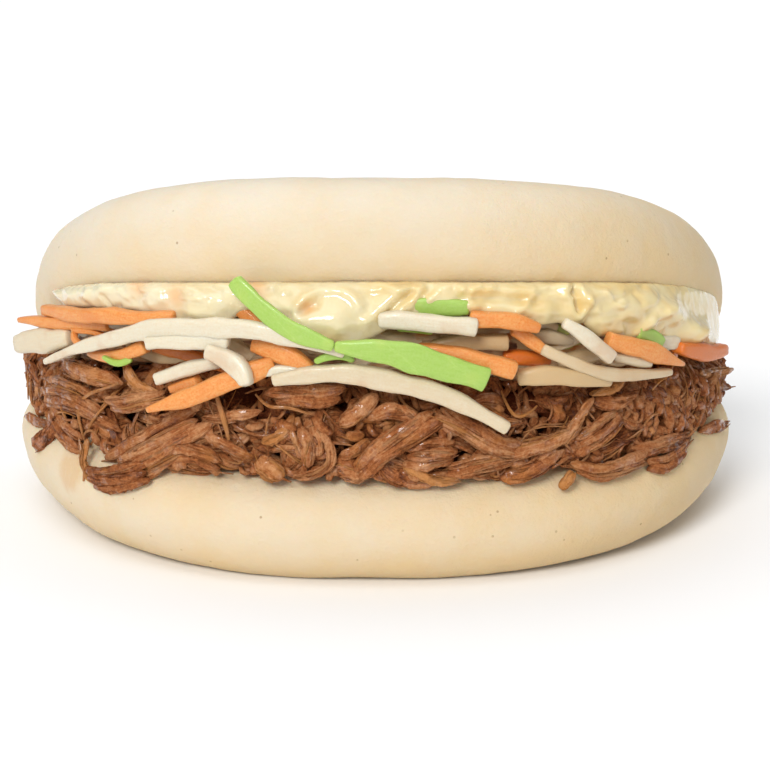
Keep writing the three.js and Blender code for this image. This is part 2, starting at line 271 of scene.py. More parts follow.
@dataclass(frozen=True)
class Finish:
    """What every finish shares: the shader's even settings, and how its material is put together."""

    name: str
    roughness: float = 0.5
    specular: float = 0.5
    coat: float = 0.0
    coat_roughness: float = 0.1
    scatter: float = 0.0
    scatter_radius: tuple[float, float, float] = (1.0, 0.5, 0.25)
    scatter_depth: float = 1.0

    def material(self) -> bpy.types.Material:
        """Gives the finish's material, built the first time that it is asked for.

        Returns:
            The material with all its nodes.
        """
        known = bpy.data.materials.get(self.name)
        if known is not None:
            return known
        made = bpy.data.materials.new(self.name)
        made.use_nodes = True
        made.node_tree.nodes.clear()
        graph = Graph(made.node_tree)
        place = graph.add("ShaderNodeTexCoord", None, None, "Object")
        even = {
            "Roughness": self.roughness,
            "Specular IOR Level": self.specular,
            "Coat Weight": self.coat,
            "Coat Roughness": self.coat_roughness,
            "Subsurface Weight": self.scatter,
            "Subsurface Radius": self.scatter_radius,
            "Subsurface Scale": self.scatter_depth * MILLIMETRE,
        }
        shader = graph.add("ShaderNodeBsdfPrincipled", None, {**even, **self.surface(graph, place)})
        graph.node("ShaderNodeOutputMaterial", None, {"Surface": shader})
        return made

    def surface(self, graph: Graph, place: Term) -> dict[str, Term]:
        """What varies over the surface.

        Args:
            graph: The material's graph.
            place: Object coordinates.

        Returns:
            Terms by the shader's input names.
        """
        raise NotImplementedError

    @staticmethod
    def bumped(graph: Graph, height: Term, depth: float) -> Term:
        """A normal bumped by a height from 0 to 1 that stands for depth millimetres."""
        inputs = {"Strength": 1.0, "Distance": depth * MILLIMETRE, "Height": height}
        return graph.add("ShaderNodeBump", None, inputs)

    @staticmethod
    def grain_along(graph: Graph, rounds: float, stretch: float) -> Term:
        """Coordinates in which a pattern runs along a strand.

        Args:
            graph: The material's graph.
            rounds: How fast the pattern changes round the strand.
            stretch: How fast it changes for each millimetre along the strand.

        Returns:
            The coordinates.
        """
        turn = graph.stored("around") * (2 * math.pi)
        along = graph.stored("along") * stretch + graph.stored("tone") * 50.0
        return graph.vector(turn.math("COSINE") * rounds, turn.math("SINE") * rounds, along)


@dataclass(frozen=True)
class SteamedDough(Finish):
    """Cream steamed dough: a soft skin with faint mottling and specks, greasy where the meat touches it."""

    pale: Colour = (0.72, 0.64, 0.51)
    warm: Colour = (0.72, 0.54, 0.305)
    greasy: Colour = (0.62, 0.37, 0.16)
    speck: Colour = (0.30, 0.17, 0.07)

    def surface(self, graph: Graph, place: Term) -> dict[str, Term]:
        """Cream with warm mottling, warmer inside, darker and warmer low down and towards the right as
        painted shade, grease by the meat and a few dark specks.

        Args:
            graph: The material's graph.
            place: Object coordinates.

        Returns:
            Terms by the shader's input names.
        """
        mottle = graph.noise(place, 9.0, 4.0, 0.6)
        grain = graph.noise(place, 0.5, 2.0, 0.6)
        inside = graph.stored("inside")
        # Painted shade: the dough turns darker and warmer towards the bottom and towards the right, where
        # less light falls.
        low = 1 - graph.part(place, "Z").between(0.0, 0.009)
        right = graph.part(place, "X").between(-0.01, 0.056)
        warmth_and_painted_shade = mottle.between(0.35, 0.75) * 0.3 + inside.between(0.05, 0.8) * 0.5 + low * 0.9 + right * 0.5
        colour = graph.blend(warmth_and_painted_shade.math("MINIMUM", 1.0), self.pale, self.warm)
        ragged = graph.stored("greased") + (graph.noise(place, 3.0, 4.0, 0.6) - 0.5) * 0.9
        grease = ragged.between(0.45, 1.0)
        colour = graph.blend(grease * 0.5, colour, self.greasy)
        spots = {"Vector": place, "Scale": 1 / (3.4 * MILLIMETRE), "Randomness": 1.0}
        cells = graph.add("ShaderNodeTexVoronoi", {"feature": "F1"}, spots, "Distance")
        dots = (1 - cells.between(0.04, 0.075)) * graph.noise(place, 7.0).between(0.42, 0.56)
        colour = graph.blend(dots * 0.6, colour, self.speck)
        skin = grain * 0.3 + graph.noise(place, 2.4, 4.0, 0.6) * 0.7
        return {
            "Base Color": colour,
            "Roughness": 0.5 + mottle * 0.2 - grease * 0.2,
            "Normal": self.bumped(graph, skin, 0.28),
        }


@dataclass(frozen=True)
class CookedMeat(Finish):
    """Braised meat: fibres that run along each strand, from dark to tan, wet in patches."""

    dark: Colour = (0.085, 0.016, 0.004)
    brown: Colour = (0.38, 0.125, 0.038)
    tan: Colour = (0.64, 0.32, 0.145)
    amber: Colour = (0.56, 0.22, 0.05)
    relief: float = 0.5

    def surface(self, graph: Graph, place: Term) -> dict[str, Term]:
        """Brown streaks along the fibres, darker in the grooves between them as painted shade and tan on
        their ridges, amber where pale.

        Args:
            graph: The material's graph.
            place: Object coordinates.

        Returns:
            Terms by the shader's input names.
        """
        tone = graph.stored("tone")
        along = self.grain_along(graph, 5.0, 0.2)
        streak = graph.add("ShaderNodeTexNoise", None, {"Vector": along, "Scale": 2.0, "Detail": 4.0})
        patch = graph.noise(place, 3.4, 3.0)
        crumb = graph.noise(place, 0.45, 3.0, 0.65)
        # Painted shade: raised darkens the grooves between the fibres and lightens their ridges.
        level = tone * 0.5 + graph.stored("raised") * 0.24 + (streak - 0.5) * 0.5 + 0.06
        level = level + (patch - 0.5) * 0.6 + (crumb - 0.5) * 0.7
        colour = graph.ramp(level, [(0.08, self.dark), (0.42, self.brown), (0.78, self.tan)])
        stain = graph.noise(place + 0.05, 5.0, 3.0).between(0.55, 0.7) * 0.35
        stain = (stain + tone.between(0.72, 0.92) * 0.6).math("MINIMUM", 0.8)
        colour = graph.blend(stain, colour, self.amber)
        wet = graph.noise(place + 0.11, 1.5, 3.0).between(0.5, 0.62)
        return {
            "Base Color": colour,
            "Roughness": 0.6 - wet * 0.2,
            "Coat Weight": wet * 0.8,
            "Normal": self.bumped(graph, streak * 0.4 + crumb * 0.6, self.relief),
        }


@dataclass(frozen=True)
class RawShred(Finish):
    """A raw vegetable shred: its flesh, a second tint along it, a stain in patches and fine grain."""

    flesh: Colour = (0.72, 0.21, 0.035)
    tint: Colour = (0.80, 0.37, 0.115)
    stain: Colour = (0.66, 0.18, 0.03)
    soaked_and_shaded: Colour = (0.64, 0.15, 0.015)
    stained: float = 0.35
    streaks: float = 0.8
    grain: float = 0.3
    relief: float = 0.14
    veins: float = 0.0

    def surface(self, graph: Graph, place: Term) -> dict[str, Term]:
        """Flesh streaked with its tint along the shred, stained in patches, with veins where it has them.

        Args:
            graph: The material's graph.
            place: Object coordinates.

        Returns:
            Terms by the shader's input names.
        """
        tone = graph.stored("tone")
        along = self.grain_along(graph, 2.5, 0.25)
        streak = graph.add("ShaderNodeTexNoise", None, {"Vector": along, "Scale": 2.0, "Detail": 3.0})
        fine = graph.noise(place, self.grain, 3.0, 0.6)
        streaked = ((streak - 0.5) * 0.5 + (fine - 0.5) * 0.9) * self.streaks + tone * 0.3 + 0.35
        colour = graph.blend(streaked.between(0.25, 0.75), self.flesh, self.tint)
        if self.veins:
            slant = (graph.stored("around") * (2 * math.pi)).math("SINE") * 0.9
            line = (graph.stored("along") * 0.22 + slant + streak + tone * 9.0).math("PINGPONG", 1.0)
            colour = graph.blend((1 - line.between(0.0, 0.09)) * self.veins, colour, self.tint)
        patch = graph.noise(place, 5.0, 3.0).between(0.5, 0.72)
        colour = graph.blend(patch * self.stained, colour, self.stain)
        # A low tone blends to the soaked colour: juice on some shreds that show, painted shade on the hidden
        # ones.
        colour = graph.blend((1 - tone.between(0.1, 0.35)) * 0.9, colour, self.soaked_and_shaded)
        return {
            "Base Color": colour,
            "Roughness": 0.22 + fine * 0.3,
            "Coat Weight": fine.between(0.42, 0.62) * 0.5,
            "Normal": self.bumped(graph, streak * 0.3 + fine * 0.7, self.relief),
        }


@dataclass(frozen=True)
class MixedSlaw(Finish):
    """The shaded shreds deep in the slaw, too far in to be told apart."""

    # The two dark brown stops are painted shade in the gaps between the shreds.
    stops: tuple = (
        (0.30, (0.14, 0.055, 0.025)),
        (0.44, (0.33, 0.17, 0.08)),
        (0.54, (0.56, 0.38, 0.21)),
        (0.68, (0.55, 0.22, 0.06)),
    )

    def surface(self, graph: Graph, place: Term) -> dict[str, Term]:
        """Beige and orange patches, with dark brown patches of painted shade, that lie along the fold.

        Args:
            graph: The material's graph.
            place: Object coordinates.

        Returns:
            Terms by the shader's input names.
        """
        spread = place.vector_math("MULTIPLY", (0.3, 1.0, 1.4))
        patch = graph.noise(spread, 1.6, 2.0)
        return {
            "Base Color": graph.ramp(patch, list(self.stops)),
            "Normal": self.bumped(graph, graph.noise(spread, 0.8, 3.0), 0.4),
        }


@dataclass(frozen=True)
class GlossySauce(Finish):
    """Mayonnaise: glossy and pale yellow, deeper in its clouds, with orange where it has met carrot."""

    white: Colour = (0.78, 0.71, 0.49)
    pale: Colour = (0.79, 0.65, 0.35)
    deep: Colour = (0.76, 0.55, 0.22)
    orange: Colour = (0.80, 0.38, 0.12)

    def surface(self, graph: Graph, place: Term) -> dict[str, Term]:
        """Whiter on the left, yellower on the right, clouded, with a few orange spots.

        Args:
            graph: The material's graph.
            place: Object coordinates.

        Returns:
            Terms by the shader's input names.
        """
        right = graph.part(place, "X").between(-0.04, 0.03)
        cloud = graph.noise(place.vector_math("MULTIPLY", (0.5, 1.0, 1.0)), 4.0, 2.0)
        colour = graph.blend(right, self.white, self.pale)
        colour = graph.blend(cloud.between(0.4, 0.68) * (0.2 + right * 0.6), colour, self.deep)
        colour = graph.blend(graph.stored("spotted") * 0.6, colour, self.orange)
        return {"Base Color": colour, "Normal": self.bumped(graph, graph.noise(place, 1.6, 2.0), 0.1)}


@dataclass(frozen=True)
class Tabletop(Finish):
    """A plain white tabletop that glows faintly, so that it stays white in soft light."""

    white: Colour = (0.94, 0.94, 0.94)
    shade: Colour = (0.92, 0.92, 0.92)
    glow: float = 0.02

    def surface(self, graph: Graph, place: Term) -> dict[str, object]:
        """White with a trace of unevenness."""
        cloud = graph.blend(graph.noise(place, 60.0) * 0.05, self.white, self.shade)
        return {"Base Color": cloud, "Emission Color": (1.0, 1.0, 1.0), "Emission Strength": self.glow}


PALE_SCATTER = (1.0, 0.8, 0.55)
DOUGH_FINISH = SteamedDough("steamed_dough", 0.6, 0.15, scatter=0.3, scatter_depth=2.0)
MEAT_FINISH = CookedMeat("cooked_meat", 0.5, 0.12, coat_roughness=0.12)
CARROT_FINISH = RawShred("carrot", 0.35, 0.3, scatter=0.2, scatter_depth=1.0)
RADISH_FINISH = RawShred(
    "radish",
    specular=0.3,
    scatter=0.3,
    scatter_radius=PALE_SCATTER,
    scatter_depth=1.2,
    flesh=(0.67, 0.55, 0.37),
    tint=(0.75, 0.70, 0.56),
    stain=(0.62, 0.42, 0.26),
    soaked_and_shaded=(0.56, 0.37, 0.17),
    stained=0.6,
    streaks=0.5,
    relief=0.08,
)
CABBAGE_FINISH = RawShred(
    "cabbage",
    specular=0.3,
    scatter=0.2,
    scatter_radius=(0.6, 1.0, 0.3),
    flesh=(0.28, 0.47, 0.06),
    tint=(0.43, 0.60, 0.15),
    stain=(0.52, 0.62, 0.13),
    soaked_and_shaded=(0.58, 0.52, 0.16),
    stained=0.3,
    streaks=0.35,
    relief=0.05,
    veins=0.6,
)
SLAW_FINISH = MixedSlaw("mixed_slaw", 0.5, 0.3)
SAUCE_FINISH = GlossySauce(
    "glossy_mayonnaise",
    roughness=0.18,
    coat=0.6,
    coat_roughness=0.07,
    scatter=0.3,
    scatter_radius=PALE_SCATTER,
    scatter_depth=1.4,
)
TABLE_FINISH = Tabletop("white_tabletop", 0.8, 0.1)


# --- Mesh helpers ---


def mesh_piece(
    name: str,
    points: Array,
    faces: Iterable = (),
    edges: Iterable = (),
    attributes: dict[str, Array] | None = None,
) -> bpy.types.Object:
    """Makes an object from points in millimetres.

    Args:
        name: Name of the piece.
        points: N x 3 places in millimetres.
        faces: Faces, each a run of point numbers.
        edges: Edges, each a pair of point numbers.
        attributes: Values per point by name, one or three numbers each.

    Returns:
        The new object, at the origin.
    """
    mesh = bpy.data.meshes.new(name)
    mesh.from_pydata((points * MILLIMETRE).tolist(), list(edges), list(faces))
    for label, values in (attributes or {}).items():
        kind, key = ("FLOAT_VECTOR", "vector") if values.ndim == 2 else ("FLOAT", "value")
        mesh.attributes.new(label, kind, "POINT").data.foreach_set(key, values.astype(np.float32).ravel())
    piece = bpy.data.objects.new(name, mesh)
    bpy.context.scene.collection.objects.link(piece)
    return piece


def skin_faces(rings: int, columns: int) -> list[tuple[int, ...]]:
    """Faces of a closed skin of rings between two poles.

    Args:
        rings: Number of rings.
        columns: Points in each ring.

    Returns:
        The faces, for points that run from the first pole through the rings to the last pole.
    """
    last = rings * columns + 1
    faces: list[tuple[int, ...]] = []
    for k in range(columns):
        after = (k + 1) % columns
        faces.append((0, 1 + after, 1 + k))
        for i in range(rings - 1):
            low = 1 + i * columns
            high = low + columns
            faces.append((low + k, low + after, high + after, high + k))
        top = 1 + (rings - 1) * columns
        faces.append((last, top + k, top + after))
    return faces


def skin_grid(rings: int, columns: int) -> tuple[Array, Array]:
    """Where the points of a closed skin lie between its poles, u = -1 and u = 1, and round each ring.

    Args:
        rings: Number of rings.
        columns: Points in each ring.

    Returns:
        u and the turn from 0 to 1 for each point, in the order of skin_faces.
    """
    u = -np.cos(np.pi * np.arange(1, rings + 1) / (rings + 1))
    turn = np.arange(columns) / columns
    ringed = np.concatenate([[-1.0], np.repeat(u, columns), [1.0]])
    return ringed, np.concatenate([[0.0], np.tile(turn, rings), [0.0]])


def bake_modifiers(piece: bpy.types.Object) -> None:
    """Makes a piece's modifiers part of its mesh and removes them.

    Args:
        piece: The piece.
    """
    graph = bpy.context.evaluated_depsgraph_get()
    evaluated = piece.evaluated_get(graph)
    mesh = bpy.data.meshes.new_from_object(evaluated, preserve_all_data_layers=True, depsgraph=graph)
    piece.modifiers.clear()
    old = piece.data
    piece.data = mesh
    bpy.data.meshes.remove(old)


def places(piece: bpy.types.Object) -> Array:
    """The places of a piece's points in millimetres.

    Args:
        piece: The piece.

    Returns:
        N x 3 places.
    """
    flat = np.empty(len(piece.data.vertices) * 3)
    piece.data.vertices.foreach_get("co", flat)
    return flat.reshape(-1, 3) / MILLIMETRE


def move_to(piece: bpy.types.Object, points: Array) -> None:
    """Moves a piece's points to places in millimetres."""
    piece.data.vertices.foreach_set("co", (points * MILLIMETRE).ravel())
    piece.data.update()


def finish_piece(piece: bpy.types.Object, node: Node) -> None:
    """Shades a finished piece smoothly and ties it to the frame.

    Args:
        piece: The piece, in its material and at the origin.
        node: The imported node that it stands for.
    """
    piece.data.shade_smooth()
    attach(piece, ROOT)
    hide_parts(node.value)
    log.info("%s: %d faces", piece.name, len(piece.data.polygons))


def stretched(low: Array | float, high: Array | float, share: Array) -> Array:
    """Values a share of the way from low to high."""
    return low + (high - low) * share


class GeometryTree:
    """A Geometry Nodes tree with named inputs, and the way it is put on a piece."""

    def __init__(self, name: str, inputs: dict[str, object]) -> None:
        """Starts a tree.

        Args:
            name: Name of the tree.
            inputs: Default values by input name: a whole number, a number or None for a material.
        """
        self.tree = bpy.data.node_groups.new(name, "GeometryNodeTree")
        self.graph = Graph(self.tree)
        interface = self.tree.interface
        interface.new_socket("Geometry", in_out="INPUT", socket_type="NodeSocketGeometry")
        interface.new_socket("Geometry", in_out="OUTPUT", socket_type="NodeSocketGeometry")
        kinds = {int: "NodeSocketInt", float: "NodeSocketFloat", type(None): "NodeSocketMaterial"}
        self.identifiers = {}
        for label, default in inputs.items():
            socket = interface.new_socket(label, in_out="INPUT", socket_type=kinds[type(default)])
            if default is not None:
                socket.default_value = default
            self.identifiers[label] = socket.identifier
        self.source = self.graph.node("NodeGroupInput")

    def input(self, name: str) -> Term:
        """One of the tree's inputs as a term."""
        return Term(self.graph, self.source.outputs[name])

    def attribute(self, name: str, kind: str = "FLOAT") -> Term:
        """A named attribute of the geometry."""
        settings = {"data_type": kind}
        return self.graph.add("GeometryNodeInputNamedAttribute", settings, {"Name": name}, "Attribute")

    def keep(self, geometry: Term, name: str, value: Term, kind: str = "FLOAT") -> Term:
        """Stores a value for each point.

        Args:
            geometry: The geometry.
            name: The name that the value is stored under.
            value: The value.
            kind: Its data type.

        Returns:
            The geometry that has it.
        """
        settings = {"data_type": kind, "domain": "POINT"}
        inputs = {"Geometry": geometry, "Name": name, "Value": value}
        return self.graph.add("GeometryNodeStoreNamedAttribute", settings, inputs)

    def close(self, geometry: Term) -> None:
        """Ends the tree with real geometry in its material.

        Args:
            geometry: The geometry that the tree has made.
        """
        real = self.graph.add("GeometryNodeRealizeInstances", None, {"Geometry": geometry})
        inputs = {"Geometry": real, "Material": self.input("Material")}
        dressed = self.graph.add("GeometryNodeSetMaterial", None, inputs)
        self.graph.node("NodeGroupOutput", None, {"Geometry": dressed})

    def apply(self, piece: bpy.types.Object, values: dict[str, object]) -> None:
        """Runs the tree on a piece and keeps the result as its mesh.

        Args:
            piece: The piece.
            values: Values by input name.
        """
        modifier = piece.modifiers.new(self.tree.name, "NODES")
        modifier.node_group = self.tree
        for name, value in values.items():
            modifier[self.identifiers[name]] = value
        bake_modifiers(piece)


@dataclass(frozen=True)
class Unevenness:
    """How uneven a surface is: the height and size of its bumps in millimetres, and their finer layers."""

    height: float
    size: float
    detail: float
    seed: float

    def give(self, piece: bpy.types.Object, relief: GeometryTree, finish: Finish) -> None:
        """Makes a piece's surface uneven and dresses it.

        Args:
            piece: The piece.
            relief: The tree that raises and lowers a surface.
            finish: The piece's finish.
        """
        sizes = {"Height": self.height, "Size": self.size, "Detail": self.detail, "Seed": self.seed}
        relief.apply(piece, {**sizes, "Material": finish.material()})


def strand_tree() -> GeometryTree:
    """Sweeps a section along each path of a piece.

    The paths' points carry width, depth, facing, along and tone. The section is round at a squareness of 2
    and boxy above it. Its ridges run along the strand with narrow grooves between them, and raised keeps how
    far each point is out of the grooves.

    Returns:
        The tree.
    """
    inputs = {
        "Sides": 12,
        "Squareness": 2.0,
        "Ridge Height": 0.0,
        "Ridge Size": 0.8,
        "Seed": 0.0,
        "Material": None,
    }
    made = GeometryTree("strands", inputs)
    graph = made.graph
    kind = "FLOAT_VECTOR"
    path = graph.add("GeometryNodeMeshToCurve", None, {"Mesh": made.input("Geometry")}, "Curve")
    facing = made.attribute("facing", kind)
    path = graph.add("GeometryNodeSetCurveNormal", {"mode": "FREE"}, {"Curve": path, "Normal": facing})
    aside = facing.vector_math("CROSS_PRODUCT", graph.add("GeometryNodeInputTangent"))
    path = made.keep(path, "aside", aside.vector_math("NORMALIZE"), kind)
    path = made.keep(path, "centre", graph.add("GeometryNodeInputPosition"), kind)
    path = graph.add("GeometryNodeSetCurveRadius", None, {"Curve": path, "Radius": 1.0})
    circle = {"Resolution": made.input("Sides"), "Radius": MILLIMETRE}
    ring = graph.add("GeometryNodeCurvePrimitiveCircle", {"mode": "RADIUS"}, circle, "Curve")
    swept = {"Curve": path, "Profile Curve": ring, "Fill Caps": True}
    sweep = graph.add("GeometryNodeCurveToMesh", None, swept)

    centre = made.attribute("centre", kind)
    aside = made.attribute("aside", kind)
    offset = (graph.add("GeometryNodeInputPosition") - centre) * (1 / MILLIMETRE)
    out = offset.vector_math("DOT_PRODUCT", facing, output="Value")
    side = offset.vector_math("DOT_PRODUCT", aside, output="Value")
    squareness = made.input("Squareness")
    reach = out.math("ABSOLUTE") ** squareness + side.math("ABSOLUTE") ** squareness
    boxed = 1.0 / reach ** (1.0 / squareness)
    tone = made.attribute("tone")
    along = made.attribute("along")
    width = made.attribute("width")
    depth = made.attribute("depth")
    size = made.input("Ridge Size") * 2
    sway = graph.vector(along * 0.25, tone * 40.0, made.input("Seed"))
    sway = graph.add("ShaderNodeTexNoise", None, {"Vector": sway, "Scale": 1.0, "Detail": 1.0}) * 2.4
    spot = graph.vector(out * depth / size, side * width / size + sway, along * 0.13 + tone * 60.0)
    ridge = graph.add("ShaderNodeTexNoise", None, {"Vector": spot, "Scale": 1.0, "Detail": 1.5})
    raised = (ridge - 0.5).math("ABSOLUTE").between(0.0, 0.1) * 0.7 + ridge * 0.3
    half = boxed * (1.0 + (raised - 0.7) * made.input("Ridge Height")) * (MILLIMETRE / 2)
    placed = centre + facing * (out * depth * half)
    placed = placed + aside * (side * width * half)
    sweep = made.keep(sweep, "raised", raised)
    sweep = made.keep(sweep, "around", side.math("ARCTAN2", out) / (2 * math.pi))
    made.close(graph.add("GeometryNodeSetPosition", None, {"Geometry": sweep, "Position": placed}))
    return made


def relief_tree() -> GeometryTree:
    """Raises and lowers a piece's surface by noise along its normal.

    Returns:
        The tree.
    """
    made = GeometryTree("relief", {"Height": 1.0, "Size": 1.0, "Detail": 2.0, "Seed": 0.0, "Material": None})
    graph = made.graph
    spot = graph.add("GeometryNodeInputPosition") * (1 / MILLIMETRE) / made.input("Size") + made.input("Seed")
    inputs = {"Vector": spot, "Scale": 1.0, "Detail": made.input("Detail")}
    rise = (graph.add("ShaderNodeTexNoise", None, inputs) - 0.5) * made.input("Height") * (2 * MILLIMETRE)
    offset = graph.add("GeometryNodeInputNormal", None, None, "Normal") * rise
    moved = {"Geometry": made.input("Geometry"), "Offset": offset}
    made.close(graph.add("GeometryNodeSetPosition", None, moved))
    return made


def unit(vectors: Array) -> Array:
    """Vectors made one long."""
    return vectors / np.maximum(np.linalg.norm(vectors, axis=-1, keepdims=True), 1e-9)


def aside_of(points: Array, out: Array) -> Array:
    """The way to the side of a line at each of its places, square to the line and to the way out."""
    return unit(np.cross(out, unit(np.gradient(points, axis=0))))


def stations(length: float, cap: float, count: int) -> Array:
    """Places along a path, closer together where its two ends are rounded.

    Args:
        length: Length of the path.
        cap: Length of each rounded end.
        count: Number of places between the ends' roundings.

    Returns:
        Places from 0 to the length.
    """
    end = np.array([0.0, 0.06, 0.25, 0.6]) * cap
    return np.concatenate([end, np.linspace(cap, length - cap, count), length - end[::-1]])


def rounded_ends(along: Array, cap: float) -> Array:
    """Shares of the full size along a path whose ends are rounded over a length of cap."""
    from_end = np.clip(np.minimum(along, along[-1] - along) / cap, 0, 1)
    return np.maximum(np.sqrt(1 - (1 - from_end) ** 2), 0.04)


def eased(corners: Iterable[tuple[float, ...]], count: int) -> Array:
    """Evenly spaced places along a smooth line through a few corners.

    Args:
        corners: The corners, from one end to the other.
        count: Number of places.

    Returns:
        The places.
    """
    bends = np.array(list(corners), dtype=float)
    knots = np.concatenate([[0.0], np.cumsum(np.linalg.norm(np.diff(bends, axis=0), axis=1))])
    steps = np.linspace(0, knots[-1], count)
    line = np.stack([np.interp(steps, knots, column) for column in bends.T], axis=-1)
    for _ in range(count // 4):
        line[1:-1] = (line[:-2] + 2 * line[1:-1] + line[2:]) / 4
    return line


def along_line(line: Array, t: Array) -> Array:
    """Places at shares of a line, straight on past its ends.

    Args:
        line: Evenly spaced places.
        t: The shares, 0 at its start and 1 at its end.

    Returns:
        The places.
    """
    share = np.linspace(0, 1, len(line))
    inside = np.stack([np.interp(t, share, column) for column in line.T], axis=-1)
    before = np.minimum(t, 0)[:, None] * (line[1] - line[0])
    beyond = np.maximum(t - 1, 0)[:, None] * (line[-1] - line[-2])
    return inside + (before + beyond) * (len(line) - 1)


class Paths:
    """Paths in millimetres, with a width, a depth, a facing and a tone at each of their points."""

    def __init__(self) -> None:
        """Starts without a path."""
        self.points: list[Array] = []
        self.values: dict[str, list[Array]] = {}

    def add(self, points: Array, width: Array, depth: Array, facing: Array, tone: float) -> None:
        """Adds a path.

        Args:
            points: Its places.
            width: Its size across the way it faces, at each place.
            depth: Its size along the way it faces, at each place.
            facing: The way it faces, at each place.
            tone: A number from 0 to 1 by which its finish varies.
        """
        tangent = unit(np.gradient(points, axis=0))
        outward = facing - tangent * np.sum(facing * tangent, axis=1, keepdims=True)
        steps = np.linalg.norm(np.diff(points, axis=0), axis=1)
        rows = {
            "width": width,
            "depth": depth,
            "facing": unit(outward),
            "along": np.concatenate([[0.0], np.cumsum(steps)]),
            "tone": np.full(len(points), tone),
        }
        self.points.append(points)
        for name, row in rows.items():
            self.values.setdefault(name, []).append(row)

    def piece(self, name: str, clearance: Clearance | None = None) -> bpy.types.Object:
        """Makes the paths one object of edges, with their points moved off the dough.

        Args:
            name: Name of the piece.
            clearance: What keeps the points off the dough, if anything does.

        Returns:
            The object.
        """
        points = np.concatenate(self.points)
        values = {label: np.concatenate(rows) for label, rows in self.values.items()}
        if clearance is not None:
            points = clearance.lift(points, values["depth"] * STRAND_GAP_SHARE)
        starts = np.cumsum([0] + [len(path) for path in self.points[:-1]])
        edges = [
            (start + i, start + i + 1)
            for start, path in zip(starts, self.points, strict=True)
            for i in range(len(path) - 1)
        ]
        return mesh_piece(name, points, edges=edges, attributes=values)


class Clearance:
    """Keeps the filling off the dough."""

    def __init__(self, piece: bpy.types.Object) -> None:
        """Starts on the finished dough."""
        corners = [vertex.co for vertex in piece.data.vertices]
        self.tree = BVHTree.FromPolygons(corners, [polygon.vertices for polygon in piece.data.polygons])

    def lift(self, points: Array, gap: Array | float) -> Array:
        """Moves points that are in the dough, or nearer to it than a gap, straight off its skin.

        Args:
            points: Places in millimetres.
            gap: The least distance of each place from the dough.

        Returns:
            The places, moved where they had to be.
        """
        moved = points.copy()
        gaps = np.broadcast_to(gap, len(points))
        for i, (point, least) in enumerate(zip(points, gaps, strict=True)):
            place = Vector(point * MILLIMETRE)
            near, normal, _, _ = self.tree.find_nearest(place)
            if (place - near).dot(normal) < least * MILLIMETRE:
                moved[i] = np.array(near + normal * least * MILLIMETRE) / MILLIMETRE
        return moved

    def ceiling(self, x: Array, y: Array, floor: Array, otherwise: Array) -> Array:
        """Heights of the dough over places.

        Args:
            x: Where each place is along the fold.
            y: Where it is from the back to the mouth.
            floor: Its height.
            otherwise: The height where no dough is over it.

        Returns:
            The heights.
        """
        found = np.array(otherwise, dtype=float)
        for i, place in enumerate(zip(x, y, floor, strict=True)):
            struck = self.tree.ray_cast(Vector(place) * MILLIMETRE, Vector(UP))[0]
            if struck is not None:
                found[i] = struck.z / MILLIMETRE
        return found


# --- Dough ---


